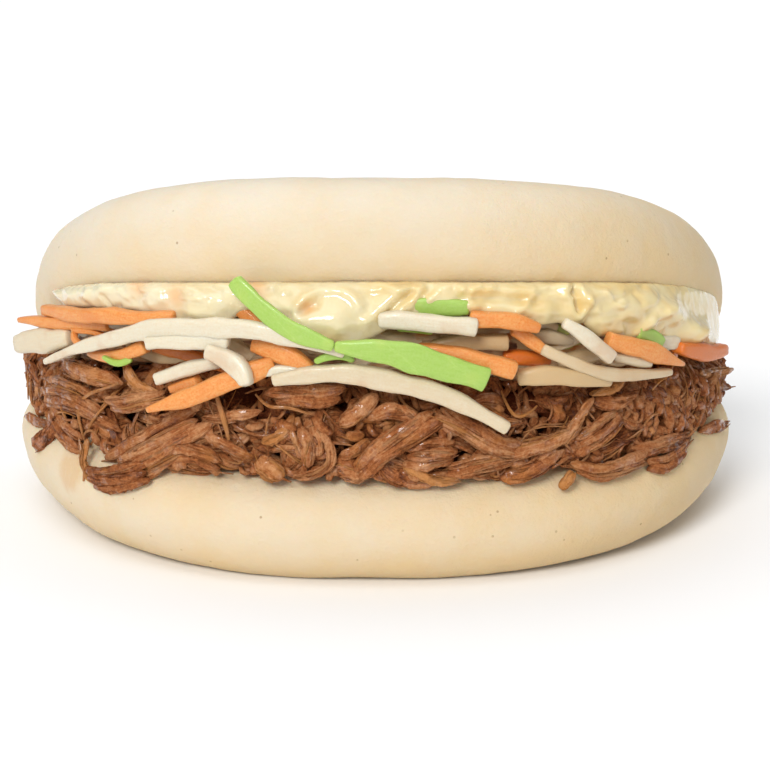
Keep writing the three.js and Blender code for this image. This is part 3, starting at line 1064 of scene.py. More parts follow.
@dataclass(frozen=True)
class Dough:
    """The folded dough in millimetres: its form, and the curves that every filling is fitted to."""

    thickness: float = 16.5
    reach: float = 70.0
    bottom_half_width: float = 56.7
    fold_half_width: float = 52.2
    lid_half_width: float = 53.7
    outline_power: float = 2.4
    fold_radius: float = 13.0
    fold_y: float = 13.5
    lid_tilt_at_fold: float = math.radians(29)
    lid_tilt_at_lip: float = math.radians(10)
    lid_shift: float = 0.4
    lid_drop: float = 2.8
    lid_end_drop: float = 1.2
    lid_left_growth: float = 0.8
    lid_right_growth: float = 1.1
    lid_crown: float = 1.3
    lid_nose_power: float = 2.4
    bottom_lift: float = 2.2
    rest_press: float = 0.4

    @property
    def quarter_bend(self) -> float:
        """Length of the dough's middle round a quarter of the fold."""
        return self.fold_radius * math.pi / 2

    @property
    def back_y(self) -> float:
        """Centre of the bottom half's outline."""
        return self.fold_y + self.quarter_bend

    def reach_share(self, u: Array) -> Array:
        """How much of the reach is left at a share u of the half width."""
        return (1 - np.minimum(1, np.abs(u)) ** self.outline_power) ** (1 / self.outline_power)

    def lip_y(self, x: Array, inset: float) -> Array:
        """The bottom lip's line seen from above, inset towards the fold."""
        return self.back_y - (self.reach - inset) * self.reach_share(x / (self.bottom_half_width - inset))

    def middle(self, s: Array) -> tuple[Array, Array, Array]:
        """The middle of the dough along its reach.

        Args:
            s: Length along the dough from the back of the fold, negative under the filling.

        Returns:
            y, z and the angle of the outward normal from +Y.
        """
        lid_start = self.fold_radius * (math.pi / 2 - self.lid_tilt_at_fold)
        lid_bend = (self.lid_tilt_at_fold - self.lid_tilt_at_lip) / (self.reach - lid_start)
        bend = np.clip(s, -self.quarter_bend, lid_start) / self.fold_radius
        tilt = self.lid_tilt_at_fold - lid_bend * np.maximum(s - lid_start, 0)
        y = self.fold_y + self.fold_radius * np.cos(bend) + np.minimum(s + self.quarter_bend, 0)
        z = self.thickness / 2 - self.rest_press + self.fold_radius * (1 + np.sin(bend))
        y = y - (math.sin(self.lid_tilt_at_fold) - np.sin(tilt)) / lid_bend
        z = z + (np.cos(tilt) - math.cos(self.lid_tilt_at_fold)) / lid_bend
        return y, z, np.where(s > lid_start, math.pi / 2 - tilt, bend)

    def rim(self, x: Array, s: Array) -> tuple[Array, Array]:
        """How far a place of the flat dough is from its rim.

        Args:
            x: Place along the fold.
            s: Place along the reach.

        Returns:
            1 in the middle and 0 at the rim, and the distance to the rim.
        """
        n = self.outline_power
        across = np.abs(x) / self.bottom_half_width
        along = np.abs(s) / self.reach
        fill = np.maximum((across**n + along**n) ** (1 / n), 0.05)
        slope_x = (across / fill) ** (n - 1) / self.bottom_half_width
        slope_s = (along / fill) ** (n - 1) / self.reach
        return 1 - fill, np.maximum(0, 1 - fill) / np.maximum(np.hypot(slope_x, slope_s), 1e-6)

    @staticmethod
    def along_reach(t: Array) -> Array:
        """Shares of the reach, closer together round the fold and round the lip.

        Args:
            t: Even shares of the way from the fold to the lip.

        Returns:
            The shares of the reach.
        """
        bend_end = 0.28
        nose_start = 0.88
        nose = nose_start + (1 - nose_start) * np.sin((3 * t - 2) * math.pi / 2)
        arm = stretched(bend_end, nose_start, 3 * t - 1)
        return np.where(t < 1 / 3, bend_end * 3 * t, np.where(t < 2 / 3, arm, nose))

    def skin(self, u: Array, turn: Array) -> tuple[Array, Array]:
        """Places on the bun's skin.

        Args:
            u: Share of the half width, from -1 to 1.
            turn: Place round the ring: the outside from the bottom lip to the lid's lip, then the inside.

        Returns:
            The places, and how far inside the fold each lies, from 0 to 1.
        """
        outside = turn < 0.5
        arm = np.where(outside, 4 * turn - 1, 3 - 4 * turn)
        s = np.sign(arm) * self.along_reach(np.abs(arm)) * self.reach * self.reach_share(u)
        y, z, normal = self.middle(s)
        in_bottom = np.clip(-s / self.quarter_bend, 0, 1)
        in_lid = np.clip(s / self.quarter_bend, 0, 1)
        half_width = stretched(self.fold_half_width, self.bottom_half_width, in_bottom)
        half_width = half_width - in_lid * (self.fold_half_width - self.lid_half_width)
        growth = np.where(u < 0, self.lid_left_growth, self.lid_right_growth)
        half_width = half_width + in_lid * growth * np.abs(u) ** 3
        centre, inset = self.rim(u * self.bottom_half_width, s)
        nose = self.thickness / 2
        rounding = np.clip(1 - inset / nose, 0, 1)
        crown = np.where(outside, self.lid_crown * in_lid * (1 - (1 - centre) ** 2), 0)
        power = stretched(2.0, self.lid_nose_power, in_lid)
        half = nose * (1 - rounding**power) ** (1 / power)
        side = np.where(outside, 1, -1)
        drop = self.lid_drop * u**2 + self.lid_end_drop * u**6
        level = z + self.bottom_lift * in_bottom * np.abs(u) ** 3 - drop * in_lid
        points = np.stack(
            [
                u * half_width + self.lid_shift * in_lid,
                y + side * (half + crown) * np.cos(normal),
                np.maximum(0, level + side * (half + crown) * np.sin(normal)),
            ],
            axis=-1,
        )
        return points, 0.5 - side * 0.5 * half / nose


@dataclass
class Bun:
    """The steamed bun: one piece of dough folded over the filling."""

    dough: Dough
    relief: GeometryTree
    rings: int = 190
    ring_points: int = 250
    lumps: Unevenness = Unevenness(0.5, 17.0, 2.0, 3.0)
    dimples: Unevenness = Unevenness(0.06, 2.6, 2.0, 3.0)
    stain: Point = (-46.4, -15.0, 12.3)
    stain_reach: float = 4.5

    def build(self) -> bpy.types.Object:
        """Builds and dresses the bun.

        Returns:
            The finished piece.
        """
        points, inside = self.dough.skin(*skin_grid(self.rings, self.ring_points))
        from_stain = np.linalg.norm(points - np.array(self.stain), axis=1)
        values = {"inside": inside, "greased": np.clip(1.6 - from_stain / self.stain_reach, 0, 1)}
        faces = skin_faces(self.rings, self.ring_points)
        piece = mesh_piece("steamed_bun", points, faces, attributes=values)
        for unevenness in (self.lumps, self.dimples):
            unevenness.give(piece, self.relief, DOUGH_FINISH)
        settled = places(piece)
        settled[:, 2] = np.where(points[:, 2] <= 0, 0, np.maximum(settled[:, 2], 0))
        move_to(piece, settled)
        finish_piece(piece, Node.BUN)
        return piece


# --- Filling ---


@dataclass(frozen=True)
class Mouth:
    """The curved front of a filling, set back from the bottom lip."""

    dough: Dough
    setback: float

    def rim(self, angle: Array, outward: Array | float) -> Array:
        """Places at angles round the front and outward of it, at height 0.

        Args:
            angle: The angles, 0 in the middle of the mouth.
            outward: How far out of the front each place is.

        Returns:
            The places.
        """
        n = self.dough.outline_power
        across = np.abs(np.sin(angle)) / (self.dough.bottom_half_width - self.setback)
        forward = np.abs(np.cos(angle)) / (self.dough.reach - self.setback)
        radius = (across**n + forward**n) ** (-1 / n) + outward
        y = self.dough.back_y - radius * np.cos(angle)
        return np.stack([radius * np.sin(angle), y, 0 * angle], axis=-1)

    def speed(self, angle: float) -> float:
        """Millimetres of the front for each radian at an angle.

        Args:
            angle: The angle.

        Returns:
            The length for each radian.
        """
        step = 0.01
        ends = self.rim(np.array([angle - step, angle + step]), 0.0)
        return float(np.linalg.norm(ends[1] - ends[0])) / (2 * step)

    def turn_at(self, x: Array) -> Array:
        """The angles at which the front has the given x."""
        turns = np.linspace(-math.pi / 2, math.pi / 2, 361)
        return np.interp(x, self.rim(turns, 0.0)[:, 0], turns)

    def outward(self, points: Array) -> Array:
        """The level way out of the mouth at each place."""
        return unit((points - np.array([0.0, self.dough.back_y, 0.0])) * LEVEL)


def ripples(x: Array, z: Array) -> Array:
    """Shallow waves over the front of a core."""
    return np.sin(x / 4.3 + z / 3) + np.sin(x / 2.9 - z / 2)


@dataclass(frozen=True)
class Layer:
    """A filling layer that runs from the fold to the mouth between two heights."""

    half_width: float
    setback: float
    bottom: Callable[[Array, Array], Array]
    top: Callable[[Array, Array], Array]
    swell: Callable[[Array, Array], Array]
    rings: int = 120
    ring_points: int = 110
    squareness: float = 0.5
    end_rounding: float = 8.0

    def faces(self) -> list[tuple[int, ...]]:
        """The faces of the layer's skin."""
        return skin_faces(self.rings, self.ring_points)

    def points(self, dough: Dough) -> Array:
        """Places on the layer's skin.

        Args:
            dough: The dough that it lies in.

        Returns:
            The places.
        """
        u, turn = skin_grid(self.rings, self.ring_points)
        x = u * self.half_width
        back = dough.fold_y + dough.fold_radius / 2
        face = np.minimum(back - 1, dough.lip_y(x, self.setback))
        forward = self.signed_power(np.cos(2 * math.pi * turn))
        up = -self.signed_power(np.sin(2 * math.pi * turn))
        y = stretched(back, face, (1 + forward) / 2)
        low, high = self.bottom(x, y), self.top(x, y)
        half = (high - low) / 2 * np.maximum(0.02, 1.02 - np.abs(u) ** self.end_rounding)
        z = (low + high) / 2 + up * half
        return np.stack([x, y - np.clip(forward, 0, 1) ** 4 * self.swell(x, z), z], axis=-1)

    def signed_power(self, value: Array) -> Array:
        """A value to the power of the squareness, with its sign kept."""
        return np.sign(value) * np.abs(value) ** self.squareness


@dataclass(frozen=True)
class Bundle:
    """A bundle of meat fibres on the front of the heap.

    It runs along its route, places (x, z) of the front, where it has one. Otherwise it lies at an angle
    round the front and a level from the meat's bottom to its top, with a slant, a length and a bow. Its
    middle stands out of the front by out, its ends by tuck less, and its last end by flare more. It leans
    and twists about its own line.
    """

    width: float
    depth: float
    tone: float
    out: float = 0.8
    tuck: float = 0.8
    flare: float = 0.0
    lean: float = 0.0
    twist: float = 0.0
    turn: float = 0.0
    level: float = 0.0
    slant: float = 0.0
    length: float = 0.0
    bow: float = 0.0
    route: tuple[tuple[float, float], ...] = ()

    @property
    def reach(self) -> float:
        """Its length, along the route where it has one.

        Returns:
            The length.
        """
        if not self.route:
            return self.length
        return sum(math.dist(first, second) for first, second in zip(self.route, self.route[1:]))


SHOWING_BUNDLES = (
    Bundle(5.6, 2.8, 0.60, 1.4, 0.9, route=((-37.6, 13.2), (-32.5, 17.1), (-27.8, 20.9), (-23.3, 24.0))),
    Bundle(3.6, 3.0, 0.34, 2.7, 0.8, route=((-40.8, 11.6), (-37.4, 12.4), (-34.2, 13.8), (-31.0, 15.4))),
    Bundle(1.0, 0.9, 0.80, 2.6, 0.4, route=((-40.7, 17.4), (-41.3, 13.8), (-40.4, 11.0))),
    Bundle(4.8, 2.6, 0.48, 1.0, 1.2, route=((-51.4, 18.6), (-46.3, 22.0), (-42.0, 22.6), (-38.0, 21.0))),
    Bundle(3.6, 2.4, 0.44, 0.8, 0.4, route=((-49.2, 18.2), (-45.9, 16.4), (-42.6, 15.0))),
    Bundle(1.9, 1.5, 0.40, 1.6, 0.4, 1.6, route=((-46.2, 18.0), (-48.0, 14.4), (-49.4, 11.2))),
    Bundle(1.2, 1.0, 0.42, 1.4, 0.3, 1.4, route=((-48.6, 15.6), (-50.4, 14.4), (-52.2, 13.4))),
    Bundle(2.2, 1.9, 0.66, 1.7, 1.0, route=((-29.6, 26.6), (-34.5, 24.5), (-38.6, 23.2))),
    Bundle(1.5, 1.0, 0.70, 1.4, 1.0, route=((-36.2, 30.0), (-33.7, 27.4), (-29.6, 25.6))),
    Bundle(2.0, 1.5, 0.56, 1.0, 0.8, route=((-47.0, 25.8), (-42.7, 26.9), (-36.8, 26.6))),
    Bundle(2.4, 2.0, 0.40, 0.8, 0.8, route=((-52.3, 24.0), (-53.2, 21.4), (-50.6, 19.6))),
    Bundle(1.1, 0.8, 0.72, 1.6, 0.8, route=((-24.4, 24.0), (-20.2, 24.7), (-15.8, 25.8))),
    Bundle(1.3, 1.0, 0.62, 1.5, 0.8, route=((-24.2, 24.4), (-23.3, 21.5), (-20.0, 20.0), (-17.2, 18.9))),
    Bundle(2.7, 2.0, 0.50, 1.3, 0.8, route=((-30.4, 17.2), (-26.7, 19.0), (-23.4, 18.4), (-21.0, 17.2))),
    Bundle(0.9, 0.8, 0.70, 1.9, 0.4, route=((-36.4, 15.0), (-32.7, 17.0), (-30.2, 18.6))),
    Bundle(
        3.0, 2.6, 0.60, 1.6, 1.2,
        route=((-2.6, 16.6), (-0.2, 19.8), (3.8, 22.8), (7.5, 24.9), (9.6, 25.8)),
    ),
    Bundle(2.6, 2.2, 0.56, 1.8, 1.0, route=((9.0, 26.0), (12.0, 24.2), (16.0, 21.4), (20.6, 19.6))),
    Bundle(4.0, 2.4, 0.52, 1.0, 1.0, route=((3.8, 19.4), (7.8, 20.0), (11.6, 20.2))),
    Bundle(3.2, 2.0, 0.50, 0.8, 0.8, route=((-9.8, 24.0), (-8.4, 21.7), (-8.6, 18.0))),
    Bundle(
        1.0, 1.0, 0.66, 1.7, 0.4,
        route=((-7.5, 23.6), (-5.9, 20.8), (-6.1, 18.1), (-8.5, 16.8), (-11.4, 16.4)),
    ),
    Bundle(2.9, 1.8, 0.55, 0.6, 0.8, route=((-15.6, 27.6), (-11.5, 28.4), (-6.8, 28.4), (-3.8, 28.8))),
    Bundle(0.9, 0.8, 0.76, 1.5, 0.8, route=((-11.9, 23.6), (-10.6, 20.9), (-9.2, 18.4))),
    Bundle(1.0, 0.9, 0.74, 1.3, 0.6, route=((-5.2, 19.4), (-2.4, 20.6), (-0.8, 22.0))),
    Bundle(1.6, 1.3, 0.64, 1.2, 0.8, route=((0.4, 28.8), (-2.1, 26.4), (-4.8, 24.0))),
    Bundle(2.4, 1.9, 0.50, 1.0, 0.8, route=((9.2, 16.8), (14.4, 18.2), (21.0, 19.2))),
    Bundle(1.2, 1.0, 0.88, 1.6, 0.4, route=((4.0, 17.8), (6.8, 16.6), (9.4, 15.8), (12.0, 15.8))),
    Bundle(1.3, 0.9, 0.84, 1.4, 0.6, route=((-16.0, 21.0), (-13.9, 22.2), (-11.9, 23.4))),
    Bundle(2.0, 1.6, 0.82, 1.4, 0.4, route=((-16.6, 18.4), (-14.2, 17.0), (-12.8, 16.0))),
    Bundle(1.4, 1.2, 0.58, 1.5, 0.9, route=((-1.2, 25.0), (1.6, 26.6), (4.5, 26.0), (6.6, 23.8))),
    Bundle(1.8, 1.4, 0.64, 1.5, 0.9, route=((17.4, 18.6), (22.3, 20.0), (26.8, 21.2), (29.8, 21.8))),
    Bundle(1.2, 1.0, 0.76, 1.8, 0.6, route=((26.6, 20.0), (28.1, 22.8), (29.0, 24.3), (31.0, 26.2))),
    Bundle(1.2, 0.9, 0.78, 1.4, 0.6, route=((30.6, 26.6), (33.6, 26.6), (35.8, 27.6))),
    Bundle(1.6, 1.4, 0.58, 1.2, 0.8, route=((31.0, 25.3), (34.5, 24.4), (37.8, 25.0))),
    Bundle(3.6, 2.4, 0.52, 1.2, 1.0, route=((28.4, 18.8), (31.8, 20.8), (35.6, 22.8))),
    Bundle(2.1, 1.6, 0.32, 1.5, 0.9, route=((36.0, 16.4), (41.0, 16.2), (46.8, 15.2))),
    Bundle(
        2.3, 1.8, 0.56, 1.7, 0.5,
        route=((27.0, 16.4), (30.5, 15.0), (33.8, 14.6), (36.1, 15.2), (39.6, 15.4)),
    ),
    Bundle(2.3, 2.0, 0.50, 1.8, 0.5, route=((38.9, 14.0), (41.3, 13.0), (43.3, 13.6), (45.4, 14.4))),
    Bundle(1.3, 1.0, 0.90, 2.0, 0.3, route=((27.8, 15.8), (26.8, 14.4), (26.0, 13.4))),
    Bundle(1.0, 0.8, 0.86, 0.4, 0.2, 3.0, route=((49.0, 23.0), (51.0, 21.6), (52.8, 20.0))),
    Bundle(1.0, 0.8, 0.60, 0.6, 0.2, 2.6, route=((50.4, 20.2), (51.8, 18.8), (52.9, 17.0))),
    Bundle(1.3, 1.1, 0.52, 1.2, 0.3, 1.6, route=((48.2, 14.8), (50.4, 13.6), (52.0, 12.4))),
)
SHOWING_STRINGS = (
    Bundle(
        0.65, 0.6, 0.86, 1.7, 0.4,
        route=((-36.4, 27.2), (-40.7, 24.6), (-42.7, 22.0), (-42.7, 19.3), (-42.0, 16.2)),
    ),
    Bundle(0.7, 0.6, 0.84, 2.5, 0.3, route=((-42.2, 16.8), (-41.3, 13.6), (-41.2, 10.6))),
    Bundle(0.9, 0.7, 0.88, 2.3, 0.5, route=((-22.0, 28.4), (-20.8, 25.4), (-20.2, 21.4))),
    Bundle(0.6, 0.5, 0.84, 1.7, 0.6, route=((-16.6, 28.4), (-14.3, 26.7), (-11.0, 26.4), (-8.8, 26.0))),
    Bundle(0.5, 0.5, 0.90, 3.4, 0.4, route=((42.0, 28.9), (40.3, 27.4), (38.6, 25.8))),
)
# The hollows between the bundles, set back and painted dark as shade: x, z and reach of each
HOLLOWS = (
    (-35.5, 21.6, 3.0),
    (-39.8, 22.0, 1.6),
    (-18.4, 27.2, 3.0),
    (-15.6, 19.4, 1.9),
    (-4.4, 20.4, 1.8),
    (-5.0, 26.5, 1.3),
    (12.2, 19.6, 1.4),
    (20.6, 26.6, 3.6),
    (23.4, 22.2, 1.9),
    (35.8, 20.4, 1.2),
)


@dataclass
class PulledMeat:
    """The heap of pulled meat: a core, bundles of fibres over its front, and crumbs and strings on them."""

    dough: Dough
    clearance: Clearance
    strands: GeometryTree
    relief: GeometryTree
    half_width: float = 52.8
    setback: float = 2.6
    bottom: float = 13.5
    top_at_middle: float = 24.6
    top_slope: float = -0.14
    swell: float = 0.6
    hollow_depth: float = 3.2
    lowest: float = 15.6
    tufts: int = 370
    crumbs: int = 850
    end_tips: int = 26
    strand_width: float = 1.35
    fibres_for_width: float = 1.7
    fibre_limit: int = 15
    ridge_height: float = 0.24
    ridge_size: float = 0.42
    core_grain: Unevenness = Unevenness(0.9, 1.9, 4.0, 8.0)
    strand_grain: Unevenness = Unevenness(0.42, 0.8, 3.0, 9.0)
    cross_strings: int = 210
    seed: int = 11
    farthest_turn: float = math.radians(82)
    end_turn: float = math.radians(87)
    softness: float = 0.9
    top_edge: float = 0.45
    top_setback: float = 5.0
    laid: list[Bundle] = field(default_factory=list)

    def __post_init__(self) -> None:
        """Places the mouth that the meat fills."""
        self.mouth = Mouth(self.dough, self.setback)

    def top(self, x: Array, y: Array) -> Array:
        """Height of the meat."""
        left_rise = 2.2 * np.exp(-(((x + 27) / 9) ** 2))
        return self.top_at_middle + self.top_slope * y + left_rise + 0.5 * np.sin(x / 5)

    @staticmethod
    def hollow(x: Array, z: Array) -> Array:
        """How far into a hollow each place of the front is, from 0 to 1."""
        depths = [np.exp(-((x - a) ** 2 + (z - b) ** 2) / reach**2) for a, b, reach in HOLLOWS]
        return np.max(depths, axis=0)

    def build_core(self) -> None:
        """Builds the core, which shows between the bundles in a low tone that is painted shade, darkest in
        the hollows.
        """
        layer = Layer(
            self.half_width,
            self.setback + 1.2,
            lambda x, y: 0 * x + self.bottom,
            self.top,
            lambda x, z: self.swell * ripples(x, z) - self.hollow_depth * self.hollow(x, z),
            rings=150,
        )
        points = self.clearance.lift(layer.points(self.dough), CORE_GAP)
        in_hollow = self.hollow(points[:, 0], points[:, 2])
        # Painted shade: the core's tone is low, and lower still in the hollows.
        values = {"tone": 0.3 - 0.45 * in_hollow, "along": points[:, 0], "around": points[:, 2] / 10}
        piece = mesh_piece("meat_core", points, layer.faces(), attributes=values)
        self.core_grain.give(piece, self.relief, MEAT_FINISH)
        finish_piece(piece, Node.MEAT)

    def path(self, bundle: Bundle, t: Array) -> Array:
        """Places along the middle of a bundle, t from 0 to 1 and a little past both ends.

        Args:
            bundle: The bundle.
            t: Shares of its length.

        Returns:
            The places.
        """
        arch = 1 - (2 * t - 1) ** 2
        outward = bundle.out - bundle.tuck * (1 - arch) + bundle.flare * np.clip(t, 0, 2) ** 3
        if bundle.route:
            place = along_line(eased(bundle.route, ROUTE_STEPS), t)
            points = self.mouth.rim(self.mouth.turn_at(place[:, 0]), outward)
            points[:, 2] = place[:, 1]
            return points
        arc = (t - 0.5) * bundle.length * math.cos(bundle.slant) - bundle.bow * arch * math.sin(bundle.slant)
        rise = (t - 0.5) * bundle.length * math.sin(bundle.slant) + bundle.bow * arch * math.cos(bundle.slant)
        angle = bundle.turn + arc / self.mouth.speed(bundle.turn)
        angle = np.clip(angle, -self.end_turn, self.end_turn)
        flat = self.mouth.rim(angle, 0.0)
        high = self.top(flat[:, 0], flat[:, 1])
        height = stretched(self.lowest, high, bundle.level) + rise
        height = self.lowest + self.softness * np.log1p(np.exp((height - self.lowest) / self.softness))
        share = np.clip((height - self.lowest) / (high - self.lowest), 0, 1)
        back_at_top = self.top_setback * np.clip(share - (1 - self.top_edge), 0, 1) ** 2 / self.top_edge**2
        points = self.mouth.rim(angle, outward - back_at_top)
        points[:, 2] = np.minimum(height, high + 0.8)
        return points

    def facing(self, bundle: Bundle, points: Array, t: Array) -> Array:
        """The way a bundle faces along its line: out of the mouth, leaning and twisting about the line.

        Args:
            bundle: The bundle.
            points: Places along its line.
            t: Their shares of its length.

        Returns:
            The way that it faces at each place.
        """
        out = self.mouth.outward(points)
        angle = (bundle.lean + bundle.twist * (t - 0.5))[:, None]
        return out * np.cos(angle) + aside_of(points, out) * np.sin(angle)

    def in_hollow(self, bundle: Bundle) -> float:
        """How far into a hollow the middle of a bundle is, from 0 to 1."""
        middle = self.path(bundle, np.array([0.3, 0.5, 0.7]))
        return self.hollow(middle[:, 0], middle[:, 2]).max()

    def random_bundle(
        self, rng: np.random.Generator, turn: float, short: float, long: float, wide: float
    ) -> Bundle:
        """Draws a bundle at an angle.

        Args:
            rng: The source of random numbers.
            turn: The angle round the front.
            short: Its least length.
            long: Its greatest length.
            wide: Its greatest width.

        Returns:
            The bundle.
        """
        return Bundle(
            width=rng.uniform(0.35, 1.0) * wide,
            depth=rng.uniform(0.2, 0.42) * wide,
            tone=float(np.clip(rng.normal(0.5, 0.15), 0.1, 0.72)),
            out=rng.uniform(-1.3, 0.7),
            tuck=rng.uniform(0.2, 1.8),
            flare=rng.uniform(-0.4, 0.6),
            lean=rng.normal(0, 0.35),
            twist=rng.normal(0, 0.8),
            turn=turn,
            level=rng.random() ** 0.9,
            slant=rng.normal(0, 0.55),
            length=rng.uniform(short, long),
            bow=rng.normal(0, 0.09) * long,
        )

    def scatter_bundles(self) -> None:
        """Draws tufts round the mouth, though not over hollows, and tips that stick out at its ends."""
        rng = np.random.default_rng(self.seed)
        for i in range(self.tufts):
            turn = stretched(-self.farthest_turn, self.farthest_turn, (i + rng.random()) / self.tufts)
            bundle = self.random_bundle(rng, turn, short=3.5, long=11.0, wide=3.9)
            if self.in_hollow(bundle) < 0.45:
                self.laid.append(bundle)
        for i in range(self.end_tips):
            side = 1 if i % 3 else -1
            self.laid.append(
                Bundle(
                    width=rng.uniform(0.9, 2.4),
                    depth=rng.uniform(0.7, 1.4),
                    tone=float(np.clip(rng.normal(0.5, 0.15), 0, 0.7)),
                    out=rng.uniform(-1.8, -0.2),
                    tuck=0.3,
                    flare=rng.uniform(0.3, 1.2),
                    turn=side * rng.uniform(1.0, 1.4),
                    level=rng.uniform(0.05, 0.75),
                    slant=rng.normal(0, 0.4) + (0 if side > 0 else math.pi),
                    length=rng.uniform(4, 9),
                    bow=rng.normal(0, 0.8),
                )
            )

    def parted(self, rng: np.random.Generator, bundle: Bundle) -> list[Bundle]:
        """Parts a wide bundle into the strands that lie side by side in it.

        Args:
            rng: The source of random numbers.
            bundle: The bundle.

        Returns:
            The strands.
        """
        count = max(1, round(bundle.width / self.strand_width))
        corners = np.array(bundle.route)
        run = unit(corners[-1] - corners[0])
        across = np.array([-run[1], run[0]])
        strands = []
        middle = corners.mean(axis=0)
        for i in range(count):
            side = (2 * i + 1) / count - 1
            aside = middle + across * side * bundle.width * 0.5 + run * rng.normal(0, 0.06) * bundle.width
            spread = 1 + rng.uniform(-0.22, 0.06) * (count > 1)
            route = (corners - middle) * spread + aside
            rise = bundle.depth * (0.3 - 0.45 * side**2) * (count > 1)
            strands.append(
                replace(
                    bundle,
                    width=bundle.width / count * rng.uniform(1.1, 1.6),
                    depth=min(bundle.depth, bundle.width / count * rng.uniform(0.9, 1.4)),
                    tone=float(np.clip(bundle.tone + rng.normal(0, 0.1), 0.05, 0.95)),
                    out=bundle.out + rise + rng.normal(0, 0.12),
                    twist=rng.normal(0, 0.8),
                    route=tuple(map(tuple, route)),
                )
            )
        return strands

    def sweep(self, name: str, bundles: Iterable[Bundle], count: int, sides: int) -> None:
        """Sweeps a body along each of some bundles as one piece.

        Args:
            name: Name of the piece.
            bundles: The bundles.
            count: Places along each between its rounded ends.
            sides: Points round each.
        """
        book = Paths()
        for bundle in bundles:
            cap = min(bundle.reach * 0.3, bundle.width * 1.5)
            along = stations(bundle.reach, cap, count)
            t = along / bundle.reach
            points = self.path(bundle, t)
            points[:, 2] += 0.16 * np.sin(along / 1.1 + 40 * bundle.tone) * np.sin(np.pi * t)
            share = rounded_ends(along, cap)
            width, depth = bundle.width * share, bundle.depth * share
            book.add(points, width, depth, self.facing(bundle, points, t), bundle.tone)
        piece = book.piece(name, self.clearance)
        values = {
            "Sides": sides,
            "Ridge Height": self.ridge_height,
            "Ridge Size": self.ridge_size,
            "Material": MEAT_FINISH.material(),
        }
        self.strands.apply(piece, values)
        self.strand_grain.give(piece, self.relief, MEAT_FINISH)
        finish_piece(piece, Node.MEAT)

    def build_crumbs(self) -> None:
        """Builds the short torn bits on and between the bundles, half of them towards the right end."""
        rng = np.random.default_rng(self.seed + 3)
        torn = []
        for i in range(self.crumbs):
            low = math.radians(35) if i % 3 == 0 else -self.farthest_turn
            turn = rng.uniform(low, self.farthest_turn)
            crumb = self.random_bundle(rng, turn, short=1.4, long=4.2, wide=1.9)
            sunk = 2.8 * self.in_hollow(crumb)
            out = rng.uniform(0.1, 1.4) - sunk
            torn.append(replace(crumb, out=out, slant=rng.uniform(-1.6, 1.6), depth=crumb.width * 0.75))
        self.sweep("meat_crumbs", torn, count=3, sides=8)

    def build_fibres(self) -> None:
        """Builds the fibres that lie along each bundle and fray at its ends."""
        rng = np.random.default_rng(self.seed + 1)
        book = Paths()
        for bundle in self.laid:
            for _ in range(min(self.fibre_limit, int(bundle.width * self.fibres_for_width) + 1)):
                start = rng.uniform(-0.05, 0.45)
                t = np.linspace(start, min(1.0, start + rng.uniform(0.3, 0.9)), 9)
                points = self.path(bundle, t)
                out = self.facing(bundle, points, t)
                aside = aside_of(points, out)
                sway = rng.normal(0, 0.35) * (t - 0.5) + 0.12 * np.sin(t * 9 + rng.uniform(0, 6))
                turn = rng.uniform(-1.5, 1.5) + sway
                share = np.sqrt(np.clip(1 - (2 * t - 1) ** 4, 0.1, 1))
                lift = rng.uniform(0.0, 0.7) * np.abs(2 * t - 1) ** 4
                points = points + out * (np.cos(turn) * share * bundle.depth / 2 + lift)[:, None]
                points = points + aside * (np.sin(turn) * share * bundle.width / 2)[:, None]
                thick = rng.uniform(0.22, 0.6)
                size = thick * (0.3 + 0.7 * np.sin(np.pi * np.linspace(0.03, 0.97, len(t))))
                tone = float(np.clip(bundle.tone + rng.normal(0.08, 0.14), 0, 0.9))
                book.add(points, size, size * 0.8, out, tone)
        piece = book.piece("meat_fibres", self.clearance)
        self.strands.apply(piece, {"Sides": 4, "Material": MEAT_FINISH.material()})
        finish_piece(piece, Node.MEAT)

    def build_strings(self) -> None:
        """Builds the loose strings: the ones that show, and fine ones that cross the bundles."""
        rng = np.random.default_rng(self.seed + 2)
        book = Paths()
        loose = list(SHOWING_STRINGS)
        for _ in range(self.cross_strings):
            loose.append(
                Bundle(
                    width=rng.uniform(0.2, 0.6),
                    depth=0.4,
                    tone=rng.uniform(0.45, 0.95),
                    out=rng.uniform(0.8, 1.8),
                    tuck=rng.uniform(0.2, 1.4),
                    flare=rng.uniform(-0.5, 0.5),
                    turn=rng.uniform(-0.85, 0.85) * self.farthest_turn,
                    level=rng.random(),
                    slant=rng.normal(0, 0.9),
                    length=rng.uniform(3, 10),
                    bow=rng.normal(0, 1.2),
                )
            )
        for string in loose:
            t = np.linspace(0, 1, 20 if string.route else 12)
            points = self.path(string, t)
            points[:, 2] += 0.25 * np.sin(t * rng.uniform(3, 8) + rng.uniform(0, 2 * math.pi))
            size = string.width * (0.4 + 0.6 * np.sin(np.pi * np.linspace(0.05, 0.95, len(t))))
            book.add(points, size, size * 0.8, self.mouth.outward(points), string.tone)
        piece = book.piece("meat_strings", self.clearance)
        self.strands.apply(piece, {"Sides": 6, "Material": MEAT_FINISH.material()})
        finish_piece(piece, Node.MEAT)

    def build(self) -> None:
        """Builds and dresses the whole heap."""
        self.build_core()
        rng = np.random.default_rng(self.seed + 4)
        bundles = [strand for bundle in SHOWING_BUNDLES for strand in self.parted(rng, bundle)]
        self.sweep("meat_bundles", bundles, count=14, sides=22)
        self.scatter_bundles()
        self.sweep("meat_tufts", self.laid, count=6, sides=16)
        self.laid += bundles
        self.build_crumbs()
        self.build_fibres()
        self.build_strings()


